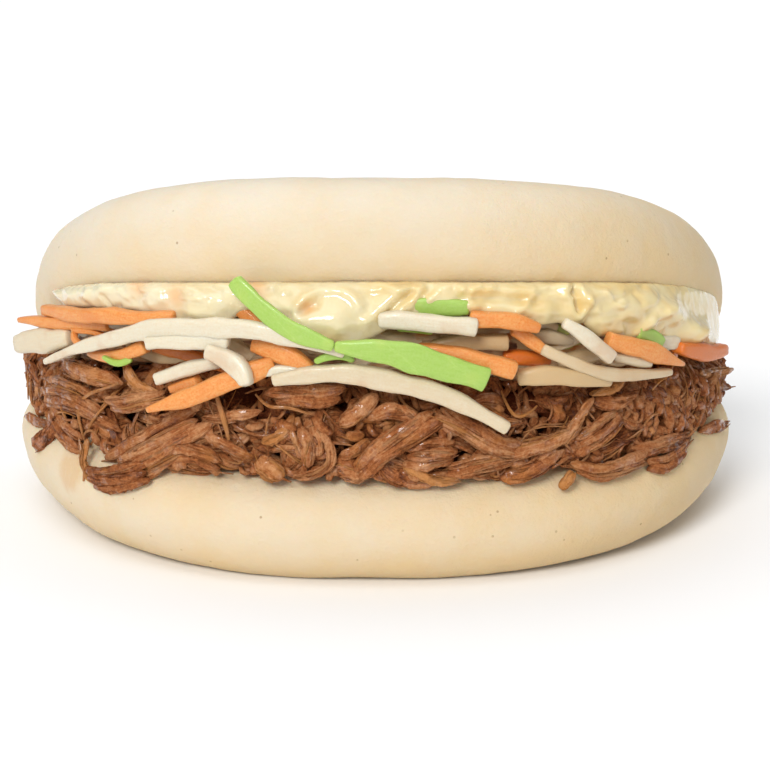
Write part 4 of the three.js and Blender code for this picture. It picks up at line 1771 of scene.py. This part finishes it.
@dataclass(frozen=True)
class Shred:
    """A shred that shows, from one end to the other with its middle moved by bow.

    wide is the side that faces out of the mouth, deep is the other, tips are the shares of the width that are
    left at the two ends, and a low tone pulls a shred to its soaked colour: juice on some that show, painted
    shade on the hidden ones.
    """

    start: Point
    end: Point
    bow: Point
    wide: float
    deep: float
    tips: tuple[float, float]
    tone: float = 0.6

    def path(self, t: Array) -> Array:
        """Places along the shred.

        Args:
            t: Shares of its length.

        Returns:
            The places.
        """
        start, end = np.array(self.start), np.array(self.end)
        control = (start + end) / 2 + 2 * np.array(self.bow)
        t = t[:, None]
        return (1 - t) ** 2 * start + 2 * t * (1 - t) * control + t**2 * end

    def share(self, t: Array) -> Array:
        """Share of the width along the shred."""
        tip = np.where(t < 0.5, self.tips[0], self.tips[1])
        return stretched(tip, 1.0, np.sin(np.pi * t))


CARROT_SHREDS = (
    Shred((-48.9, -8, 34.6), (-28.2, -29.5, 39), (0, -4, 0.3), 2.3, 2.2, (0.7, 0.5)),
    Shred((-53, -3.6, 32), (-38.1, -20, 35.2), (0, -1, 0.2), 2.1, 2.2, (0.35, 0.8)),
    Shred((-41.4, -16, 30), (-32.6, -26, 33.7), (0, -1.5, -0.5), 2.1, 2.2, (0.3, 0.9)),
    Shred((-19.5, -31.5, 41), (-15.8, -33, 37.7), (0, 0, 0), 2.2, 2.2, (0.8, 0.8)),
    Shred((-17.2, -33.5, 35.8), (-8.6, -36, 32.8), (0, -0.5, 0.4), 3.1, 2.2, (0.6, 0.35)),
    Shred((-32.1, -31, 25.6), (-14.1, -35, 33.4), (0, -2, 0.2), 2.9, 2.6, (0.3, 0.9)),
    Shred((13.3, -35, 39.8), (23.2, -33.5, 38.1), (0, -0.6, 0.5), 2.4, 2.2, (0.9, 0.6)),
    Shred((19.3, -32, 37.6), (24.3, -31.5, 34.1), (0, 0, 0.3), 1.9, 2, (0.8, 0.7)),
    Shred((5.9, -35.5, 35.9), (19.9, -35.8, 32.5), (0, -0.8, 0.3), 2.9, 2.6, (0.35, 0.9)),
    Shred((18.2, -31, 33.3), (24.9, -28, 32.2), (0, -0.5, 0), 2.2, 2.2, (0.8, 0.6), 0.1),
    Shred((33.1, -27.5, 35), (44.6, -17.5, 28.8), (0, -1.6, 0.5), 2.9, 2.4, (0.75, 0.2)),
    Shred((44.4, -14.5, 30.5), (52.5, -1, 26.7), (0, -1, -0.4), 2.6, 2.4, (0.7, 0.7), 0.15),
    Shred((-29.1, -29, 28), (-24.8, -31.6, 30), (0, 0, 0), 1.6, 2, (0.9, 0.9)),
    Shred((-44.4, -15, 33.2), (-38.5, -19, 32.8), (0, -0.6, 0.6), 0.9, 1, (0.8, 0.6), 0.45),
    Shred((-43.9, -15, 33.2), (-41.9, -17.5, 31.4), (-0.8, -0.6, -0.4), 0.9, 1, (0.8, 0.6)),
)
RADISH_SHREDS = (
    Shred((-53.6, -2.6, 27.9), (-44.5, -14.5, 31.9), (0, -1, 0.4), 3.7, 2.4, (0.8, 0.6), 0.3),
    Shred((-48.6, -12, 27.6), (-4.1, -37.4, 35.5), (0, -8, 6.4), 3, 1.7, (0.3, 0.5)),
    Shred((-32.3, -29.5, 34.9), (-20.3, -35, 36.3), (0, -0.6, 0.5), 2.1, 2.2, (0.9, 0.9)),
    Shred((-23.8, -35, 35.3), (-17.8, -38.2, 30.9), (1, 0, 0.7), 2.9, 2.2, (0.8, 0.65)),
    Shred((-31.2, -29.6, 29.6), (-19.6, -32.6, 33.7), (0, -0.6, 0.2), 2, 2.2, (0.9, 0.8)),
    Shred((-14.4, -36, 31.2), (18.9, -37.4, 24.4), (0, -1.2, 3.9), 3, 2, (0.6, 0.6), 0.28),
    Shred((-15.8, -35.6, 32.1), (-9.6, -36.4, 32.3), (0, 0, 0.3), 1.7, 1.6, (0.5, 0.9)),
    Shred((0.5, -36, 39.9), (14.5, -36.2, 38.9), (0, -0.4, 0.3), 2.6, 2.2, (0.8, 0.9)),
    Shred((26.6, -32.5, 38.7), (33.8, -30, 32.8), (0, -0.5, 0.4), 2.2, 2, (0.7, 0.9)),
    Shred((23.6, -32, 34.8), (42.9, -19.4, 28.1), (0, -3.4, -1), 1.9, 1.9, (0.8, 0.5), 0.22),
    Shred((20.2, -32.5, 30.6), (33.6, -27.6, 28.8), (0, -1.6, 0.9), 2.8, 2.2, (0.8, 0.5), 0.14),
    Shred((7.9, -32.6, 35.4), (19, -32, 35.7), (0, -0.4, 0.2), 2.4, 2.2, (0.5, 0.9), 0.12),
    Shred((-46.1, -12, 34.3), (-34.4, -22, 35.4), (0, -1.2, 0.2), 1.3, 1.4, (0.4, 0.9), 0.5),
    Shred((40.8, -17, 32), (44.5, -13.4, 30.8), (0, 0, 0), 2.2, 1.8, (0.8, 0.8), 0.5),
    Shred((34.1, -26, 32), (39.8, -22.4, 30.1), (0, -0.6, 0), 1.7, 1.8, (0.8, 0.6), 0.28),
)
CABBAGE_SHREDS = (
    Shred((-19.7, -35.4, 45.6), (-5.6, -39.4, 36.9), (-1, -0.4, -0.9), 2.8, 1, (0.75, 0.6)),
    Shred((-5.6, -39, 36.9), (15.9, -38.2, 31.7), (0, -1, 1), 4, 1.3, (0.3, 0.8)),
    Shred((4.3, -34.2, 41.2), (13.4, -34.2, 41.3), (0, 0, 0), 2.6, 1.4, (0.8, 0.8)),
    Shred((-8.4, -36.8, 34), (-2.8, -37, 34.2), (0, 0, 1), 1.2, 1.2, (0.8, 0.6), 0.45),
    Shred((37.8, -22, 34.5), (41.9, -18, 32), (0, 0, 0.3), 1.9, 1.4, (0.8, 0.8)),
    Shred((-39.3, -22.5, 31.2), (-34.9, -25, 31.5), (0, -0.4, -0.6), 1, 0.8, (0.5, 0.8), 0.3),
    Shred((3.2, -35, 38.2), (8.2, -35, 37.8), (0, 0, 0.2), 1, 0.8, (0.4, 0.6), 0.3),
)


@dataclass(frozen=True)
class Vegetable:
    """One of the slaw's vegetables: the shreds that show, and how many lie behind them."""

    name: str
    finish: Finish
    shreds: tuple[Shred, ...]
    hidden: int
    hidden_size: tuple[float, float]
    seed: int
    squareness: float = 4.0
    wander: float = 0.18
    sides: int = 24
    ridge_height: float = 0.09
    ridge_size: float = 0.5


@dataclass
class Slaw:
    """The slaw: a core, the shreds that show, and shorter ones that fill in behind them."""

    dough: Dough
    meat: PulledMeat
    clearance: Clearance
    strands: GeometryTree
    relief: GeometryTree
    half_width: float = 51.5
    setback: float = 3.4
    top_at_middle: float = 31.4
    top_slope: float = -0.24
    swell: float = 0.4
    core_grain: Unevenness = Unevenness(0.7, 2.0, 3.0, 4.0)

    def __post_init__(self) -> None:
        """Places the mouth and names the vegetables."""
        self.mouth = Mouth(self.dough, self.setback)
        self.vegetables = (
            Vegetable("carrot_shreds", CARROT_FINISH, CARROT_SHREDS, 16, (1.9, 2.0), 21),
            Vegetable("radish_shreds", RADISH_FINISH, RADISH_SHREDS, 36, (2.0, 2.2), 22),
            Vegetable("cabbage_shreds", CABBAGE_FINISH, CABBAGE_SHREDS, 9, (2.4, 1.2), 23, 6.0),
        )

    def top(self, x: Array, y: Array) -> Array:
        """Height of the slaw."""
        return self.top_at_middle + self.top_slope * y + 0.4 * np.sin(x / 6 + 1)

    def build_core(self) -> None:
        """Builds the core, which shows as the shade between the shreds."""
        layer = Layer(
            self.half_width,
            self.setback + 1.6,
            lambda x, y: self.meat.top(x, y) - 0.2,
            self.top,
            lambda x, z: self.swell * ripples(x, z),
        )
        points = self.clearance.lift(layer.points(self.dough), CORE_GAP)
        piece = mesh_piece("slaw_core", points, layer.faces())
        self.core_grain.give(piece, self.relief, SLAW_FINISH)
        finish_piece(piece, Node.SLAW)

    def hidden_shred(self, rng: np.random.Generator, size: tuple[float, float]) -> Shred:
        """Draws a short shred that lies behind the ones that show.

        Args:
            rng: The source of random numbers.
            size: Its width and depth.

        Returns:
            The shred.
        """
        turn = rng.uniform(-1.25, 1.25)
        length = rng.uniform(7, 18)
        slant = rng.normal(0, 0.2)
        half_arc = math.cos(slant) * length / 2 / self.mouth.speed(turn)
        ends = self.mouth.rim(np.array([turn - half_arc, turn + half_arc]), rng.uniform(-3.4, -1.4))
        low = self.meat.top(ends[:, 0], ends[:, 1]) + 2.0
        high = self.top(ends[:, 0], ends[:, 1]) - 0.8
        ends[:, 2] = stretched(low, high, rng.random()) + np.array([-0.5, 0.5]) * length * math.sin(slant)
        bow = (0.0, -abs(rng.normal(0, 0.8)), rng.normal(0, 0.8))
        wide = size[0] * rng.uniform(0.8, 1.2)
        tips = (rng.uniform(0.5, 0.9), 0.8)
        # Painted shade: the low tone darkens the hidden shred towards its soaked colour.
        return Shred(tuple(ends[0]), tuple(ends[1]), bow, wide, size[1], tips, rng.uniform(0.1, 0.3))

    def build_vegetable(self, vegetable: Vegetable) -> None:
        """Builds and dresses all shreds of one vegetable.

        Args:
            vegetable: The vegetable.
        """
        rng = np.random.default_rng(vegetable.seed)
        hidden = [self.hidden_shred(rng, vegetable.hidden_size) for _ in range(vegetable.hidden)]
        book = Paths()
        for shred in (*vegetable.shreds, *hidden):
            length = math.dist(shred.start, shred.end)
            cap = min(0.4, length / 8)
            along = stations(length, cap, max(8, int(length)))
            t = along / length
            points = shred.path(t)
            out = self.mouth.outward(points)
            beat = rng.uniform(0, 2 * math.pi, 3)
            wander = vegetable.wander * np.sin(along / 2.6 + beat[0]) * np.sin(np.pi * t)
            points = points + UP * wander[:, None]
            uneven = 1 + 0.06 * np.sin(along / 1.7 + beat[1]) + 0.05 * np.sin(along / 0.9 + beat[2])
            round_end = rounded_ends(along, cap)
            width = shred.wide * shred.share(t) * round_end * uneven
            book.add(points, width, shred.deep * round_end, out, shred.tone)
        piece = book.piece(vegetable.name)
        values = {
            "Sides": vegetable.sides,
            "Squareness": vegetable.squareness,
            "Ridge Height": vegetable.ridge_height,
            "Ridge Size": vegetable.ridge_size,
            "Material": vegetable.finish.material(),
        }
        self.strands.apply(piece, values)
        finish_piece(piece, Node.SLAW)

    def build(self) -> None:
        """Builds and dresses the whole slaw."""
        self.build_core()
        for vegetable in self.vegetables:
            self.build_vegetable(vegetable)


@dataclass(frozen=True)
class Fold:
    """A fold, lump or dip of the sauce's face along places (x, z) of it."""

    height: float
    width: float
    route: tuple[tuple[float, float], ...]

    def rise(self, x: Array, z: Array) -> Array:
        """How far the fold lifts each place of the face.

        Args:
            x: Where each place is along the fold of the dough.
            z: Its height.

        Returns:
            The lifts.
        """
        line = eased(self.route, FOLD_STEPS)
        gaps = np.hypot(x[:, None] - line[:, 0], z[:, None] - line[:, 1]).min(axis=1)
        return self.height * np.exp(-((gaps / self.width) ** 2))


# The lower edge of the sauce's face, from the left end to the right: x and z
SAUCE_EDGE = (
    (-46.8, 36.9), (-45.7, 36.5), (-41.4, 37.9), (-35.1, 39.1), (-31.3, 39.0), (-27.9, 38.3),
    (-24.0, 38.3), (-20.7, 39.2), (-18.9, 40.8), (-15.8, 41.9), (-13.5, 39.7), (-11.9, 37.7),
    (-9.8, 36.5), (-6.9, 35.8), (-3.4, 36.4), (-0.6, 37.6), (2.9, 39.5), (5.7, 40.9),
    (9.2, 41.7), (13.4, 40.7), (17.7, 39.7), (22.7, 38.6), (26.3, 38.6), (28.1, 37.8),
    (30.0, 38.1), (32.3, 35.8), (35.3, 34.8), (40.0, 33.6), (42.1, 33.6), (45.2, 30.6),
    (48.9, 28.0), (52.6, 26.0),
)
FOLDS = (
    Fold(0.7, 1.2, ((-44.7, 38.4), (-43, 39.3))),
    Fold(0.8, 1.3, ((-41.1, 39.2), (-39.1, 40.3))),
    Fold(1, 1.6, ((-38.1, 41), (-35.7, 40.9))),
    Fold(0.4, 0.5, ((-42.3, 40.6), (-41, 39.9), (-41.7, 38.5))),
    Fold(0.4, 1, ((-34.7, 41.9), (-32, 42.5))),
    Fold(0.8, 1.3, ((-31.7, 40.5), (-29.3, 42))),
    Fold(-0.4, 1.2, ((-28.5, 41.3), (-27.3, 41.4))),
    Fold(1.3, 2.6, ((-25.4, 41.4), (-22.9, 41.9), (-21.2, 42.7))),
    Fold(0.8, 1.3, ((-25.3, 39.3), (-22.5, 39.3))),
    Fold(0.6, 1.3, ((-19.2, 44.4), (-15.8, 45), (-11.8, 44.6))),
    Fold(-0.6, 0.9, ((-17.2, 43.2), (-14.4, 43.7))),
    Fold(2.8, 3.6, ((-8.5, 39.3), (-5.4, 39.3))),
    Fold(0.9, 0.8, ((-10.7, 40.1), (-9.9, 42.4), (-7.9, 43.6), (-5.1, 43.9), (-3.1, 43.2), (-2, 41.6))),
    Fold(-1, 0.8, ((-10, 40.8), (-8, 41.6))),
    Fold(1, 1.2, ((-0.9, 39.3), (1.1, 41.6), (3.3, 43.5))),
    Fold(0.8, 0.8, ((2.5, 39.9), (4.7, 41.9), (7.8, 44.6))),
    Fold(-0.6, 0.5, ((1.4, 39.9), (3, 41.8), (5.3, 43.6))),
    Fold(0.6, 0.6, ((-0.3, 45), (3.3, 43.8), (6.4, 44.2), (8.1, 44.9))),
    Fold(0.9, 0.9, ((9.2, 44), (14.8, 43.6), (21.9, 42.9))),
    Fold(0.9, 1.3, ((13.4, 41.7), (19.1, 40.6), (24.1, 39.8))),
    Fold(-0.6, 0.8, ((12, 42.8), (17.7, 42.2), (22.7, 41.5))),
    Fold(1, 0.9, ((26.5, 43.3), (27.5, 41.1), (28.1, 38.4))),
    Fold(0.9, 0.7, ((29.2, 42.3), (30.3, 40.1), (29, 38.3))),
    Fold(-0.8, 0.5, ((28.3, 42.5), (28.8, 39.5))),
    Fold(1, 1, ((30.7, 41), (34.4, 41), (39.1, 39.6), (42.6, 36.9))),
    Fold(1.1, 0.9, ((31.6, 39), (35.2, 39.3), (39.6, 37.9), (43.4, 34.9))),
    Fold(1, 0.9, ((31.9, 37.4), (35.6, 37.4), (39.6, 36))),
    Fold(0.8, 1, ((32.6, 36.1), (35, 35.5))),
    Fold(0.7, 0.9, ((39.2, 34.9), (41.3, 34.3))),
    Fold(0.7, 0.6, ((37.8, 34.4), (40, 35.6), (41.4, 36.1))),
    Fold(1.2, 1.4, ((43, 36.4), (45.1, 33.8), (46.9, 31.1))),
    Fold(1.0, 1.5, ((46.4, 32.0), (48.4, 31.2))),
    Fold(1.2, 1.5, ((47.7, 30.3), (49.1, 29.0), (50.3, 27.8))),
)
# Where carrot has stained the sauce: x, z and reach of each
ORANGE_SPOTS = ((-27.9, 41.4, 1.5), (-9.2, 41.2, 1.1), (-33.5, 42.1, 1.4), (-16.8, 43.6, 1.6))


@dataclass
class Sauce:
    """The mayonnaise: a layer under the lid, and its face that swells out of the mouth over the shreds."""

    dough: Dough
    slaw: Slaw
    clearance: Clearance
    relief: GeometryTree
    half_width: float = 45.0
    setback: float = 3.6
    edge_height: float = 5.2
    swell: float = 0.4
    tucked_at: float = 0.537
    face_out: float = 2.6
    first_x: float = -46.6
    last_x: float = 50.6
    end_taper: float = math.radians(4)
    sections: int = 560
    face_rows: int = 44
    lip_rows: int = 10
    back_rows: int = 5
    lip_radius: float = 0.8
    fade_rows: int = 5
    deepest_dip: float = 0.9
    layer_waves: Unevenness = Unevenness(0.35, 3.0, 1.0, 5.0)
    face_waves: Unevenness = Unevenness(0.12, 1.7, 1.0, 6.0)
    small_folds: int = 80
    folded_turn: float = math.radians(36)
    seed: int = 31

    def __post_init__(self) -> None:
        """Places the mouth that the sauce swells out of."""
        self.mouth = Mouth(self.dough, self.setback)

    def under_lid(self, x: Array, y: Array) -> Array:
        """Height of the layer's top, which lies against the lid.

        Args:
            x: Where each place is along the fold.
            y: Where it is from the back to the mouth.

        Returns:
            The heights.
        """
        low = self.slaw.top(x, y)
        over = self.clearance.ceiling(x, y, low, low + 1.2)
        return np.clip(over, low + 0.4, low + 1.4 * self.edge_height)

    def build_core(self) -> None:
        """Builds the layer."""
        layer = Layer(
            self.half_width,
            self.setback + 1.4,
            lambda x, y: self.slaw.top(x, y) - 0.3,
            self.under_lid,
            lambda x, z: self.swell * (np.sin(x / 3.7 + z / 2) + np.sin(x / 2.3 - z)),
            rings=130,
            ring_points=90,
        )
        piece = mesh_piece("mayonnaise_layer", layer.points(self.dough), layer.faces())
        self.layer_waves.give(piece, self.relief, SAUCE_FINISH)
        finish_piece(piece, Node.SAUCE)

    def contact(self, turns: Array) -> Array:
        """Places on the underside of the lid's lip, at angles round the mouth.

        Args:
            turns: The angles.

        Returns:
            The places.
        """
        u = np.linspace(-0.985, 0.985, 400)
        line, _ = self.dough.skin(u, np.full(u.shape, self.tucked_at))
        angles = np.arctan2(line[:, 0], self.dough.back_y - line[:, 1])
        return np.stack([np.interp(turns, angles, column) for column in line.T], axis=-1)

    def face(self, turns: Array) -> Array:
        """The face's sections at angles round the mouth, without its folds.

        Args:
            turns: The angles.

        Returns:
            Places by section: down the face, round its lower lip and up behind it.
        """
        top = self.contact(turns)
        low = self.mouth.rim(turns, self.face_out)
        low[:, 2] = np.interp(low[:, 0], *np.array(SAUCE_EDGE).T)
        from_end = np.minimum(turns - turns[0], turns[-1] - turns) / self.end_taper
        share = np.sqrt(1 - (1 - np.clip(from_end, 0.02, 1)) ** 2)[:, None]
        middle = (top + low) / 2
        top, low = stretched(middle, top, share), stretched(middle, low, share)
        bend = low * LEVEL + top * UP
        t = np.linspace(0, 1, self.face_rows)[None, :, None]
        front = (1 - t) ** 2 * top[:, None] + 2 * t * (1 - t) * bend[:, None] + t**2 * low[:, None]
        out = self.mouth.outward(low)[:, None] * share[:, None] * self.lip_radius
        round_lip = np.linspace(0, math.pi, self.lip_rows + 1)[None, 1:, None]
        down = -UP * share[:, None] * self.lip_radius
        lip = low[:, None] + out * (np.cos(round_lip) - 1) + down * np.sin(round_lip)
        t = np.linspace(0, 1, self.back_rows + 2)[None, 1:-1, None]
        back = stretched(lip[:, -1:], top[:, None], t)
        return np.concatenate([front, lip, back], axis=1)

    def random_folds(self, turns: Array, sections: Array) -> list[Fold]:
        """Draws small folds between the named ones, away from the ends of the mouth.

        Args:
            turns: The sections' angles.
            sections: Places by section.

        Returns:
            The folds.
        """
        rng = np.random.default_rng(self.seed)
        drawn = []
        inner = sections[np.abs(turns) < self.folded_turn]
        for _ in range(self.small_folds):
            x, _, z = inner[rng.integers(len(inner)), rng.integers(4, self.face_rows - 2)]
            reach, slant, bow = rng.uniform(1.0, 3.5), rng.normal(0, 0.8), rng.normal(0, 0.6)
            route = ((x - reach, z - slant), (x, z + bow), (x + reach, z + slant))
            drawn.append(Fold(rng.uniform(-0.45, 0.4), rng.uniform(0.35, 0.8), route))
        return drawn

    def build_face(self) -> None:
        """Builds the face that shows."""
        ends = self.mouth.turn_at(np.array([self.first_x, self.last_x]))
        turns = np.linspace(*ends, self.sections)
        sections = self.face(turns)
        ring = sections.shape[1]
        points = sections.reshape(-1, 3)
        x, z = points[:, 0], points[:, 2]
        rise = sum(fold.rise(x, z) for fold in (*FOLDS, *self.random_folds(turns, sections)))
        shown = np.zeros(ring)
        shown[: self.face_rows] = np.clip(np.arange(self.face_rows) / self.fade_rows, 0, 1)
        shown[self.face_rows : -self.back_rows] = np.cos(np.linspace(0, math.pi / 2, self.lip_rows))
        rise = np.maximum(rise, -self.deepest_dip) * np.tile(shown, self.sections)
        lift = unit(self.mouth.outward(points) + 0.25 * UP)
        points = points + lift * rise[:, None]
        points = np.concatenate([points[:ring].mean(axis=0)[None], points, points[-ring:].mean(axis=0)[None]])
        spots = [np.exp(-(((x - a) ** 2 + (z - b) ** 2) / reach**2)) for a, b, reach in ORANGE_SPOTS]
        values = {"spotted": np.pad(np.max(spots, axis=0), 1)}
        piece = mesh_piece("mayonnaise_face", points, skin_faces(self.sections, ring), attributes=values)
        self.face_waves.give(piece, self.relief, SAUCE_FINISH)
        finish_piece(piece, Node.SAUCE)

    def build(self) -> None:
        """Builds and dresses the mayonnaise."""
        self.build_core()
        self.build_face()


# --- Studio ---


@dataclass(frozen=True)
class Softbox:
    """A far soft light: its strength, the angle it spans in degrees and the direction that it stands in."""

    name: str
    strength: float
    span: float
    direction: Point

    def hang(self) -> None:
        """Hangs the light in the scene."""
        light = bpy.data.lights.new(self.name, "SUN")
        light.energy = self.strength
        light.angle = math.radians(self.span)
        hung = bpy.data.objects.new(self.name, light)
        hung.rotation_euler = Vector(self.direction).to_track_quat("Z", "Y").to_euler()
        bpy.context.scene.collection.objects.link(hung)


@dataclass
class Studio:
    """A white table, soft light and the camera, in millimetres and degrees."""

    aim: Point = (1.5, 0.0, 21.2)
    distance: float = 500.0
    elevation: float = 15.0
    lens: float = 153.8
    sensor: float = 36.0
    nearest: float = 10.0
    table_half_width: float = 2500.0
    sky: Colour = (0.97, 0.985, 1.0)
    sky_strength: float = 0.36
    lights: tuple = (
        Softbox("overhead", 1.25, 80.0, (-0.08, 0.1, 0.99)),
        Softbox("key", 2.15, 22.0, (-0.27, -0.8, 0.54)),
    )

    def build_table(self) -> None:
        """Lays the table under the bun."""
        half = self.table_half_width
        corners = np.array([(-half, -half, 0), (half, -half, 0), (half, half, 0), (-half, half, 0)])
        table = mesh_piece("table", corners, [(0, 1, 2, 3)])
        table.data.materials.append(TABLE_FINISH.material())

    def build_light(self) -> None:
        """Hangs the softboxes and the sky."""
        for softbox in self.lights:
            softbox.hang()

        world = bpy.data.worlds.new("studio")
        world.use_nodes = True
        world.node_tree.nodes.clear()
        graph = Graph(world.node_tree)
        sky = graph.add("ShaderNodeBackground", None, {"Color": self.sky, "Strength": self.sky_strength})
        graph.node("ShaderNodeOutputWorld", None, {"Surface": sky})
        bpy.context.scene.world = world
        bpy.context.scene.view_settings.view_transform = "Standard"

    def build_camera(self) -> None:
        """Places the camera in front of the mouth and a little above it."""
        tilt = math.radians(self.elevation)
        back = Vector((0.0, -math.cos(tilt), math.sin(tilt))) * self.distance
        data = bpy.data.cameras.new("camera")
        data.lens = self.lens
        data.sensor_width = self.sensor
        data.clip_start = self.nearest * MILLIMETRE
        camera = bpy.data.objects.new("camera", data)
        camera.location = (Vector(self.aim) + back) * MILLIMETRE
        camera.rotation_euler = (math.radians(90) - tilt, 0.0, 0.0)
        bpy.context.scene.collection.objects.link(camera)
        bpy.context.scene.camera = camera

    def build(self) -> None:
        """Sets the whole studio up."""
        self.build_table()
        self.build_light()
        self.build_camera()


def main() -> None:
    """Builds the pieces in order."""
    logging.basicConfig(level=logging.INFO, format="%(name)s: %(message)s")
    dough = Dough()
    strands, relief = strand_tree(), relief_tree()
    clearance = Clearance(Bun(dough, relief).build())
    meat = PulledMeat(dough, clearance, strands, relief)
    meat.build()
    slaw = Slaw(dough, meat, clearance, strands, relief)
    slaw.build()
    Sauce(dough, slaw, clearance, relief).build()
    Studio().build()


if __name__ == "__main__":
    main()
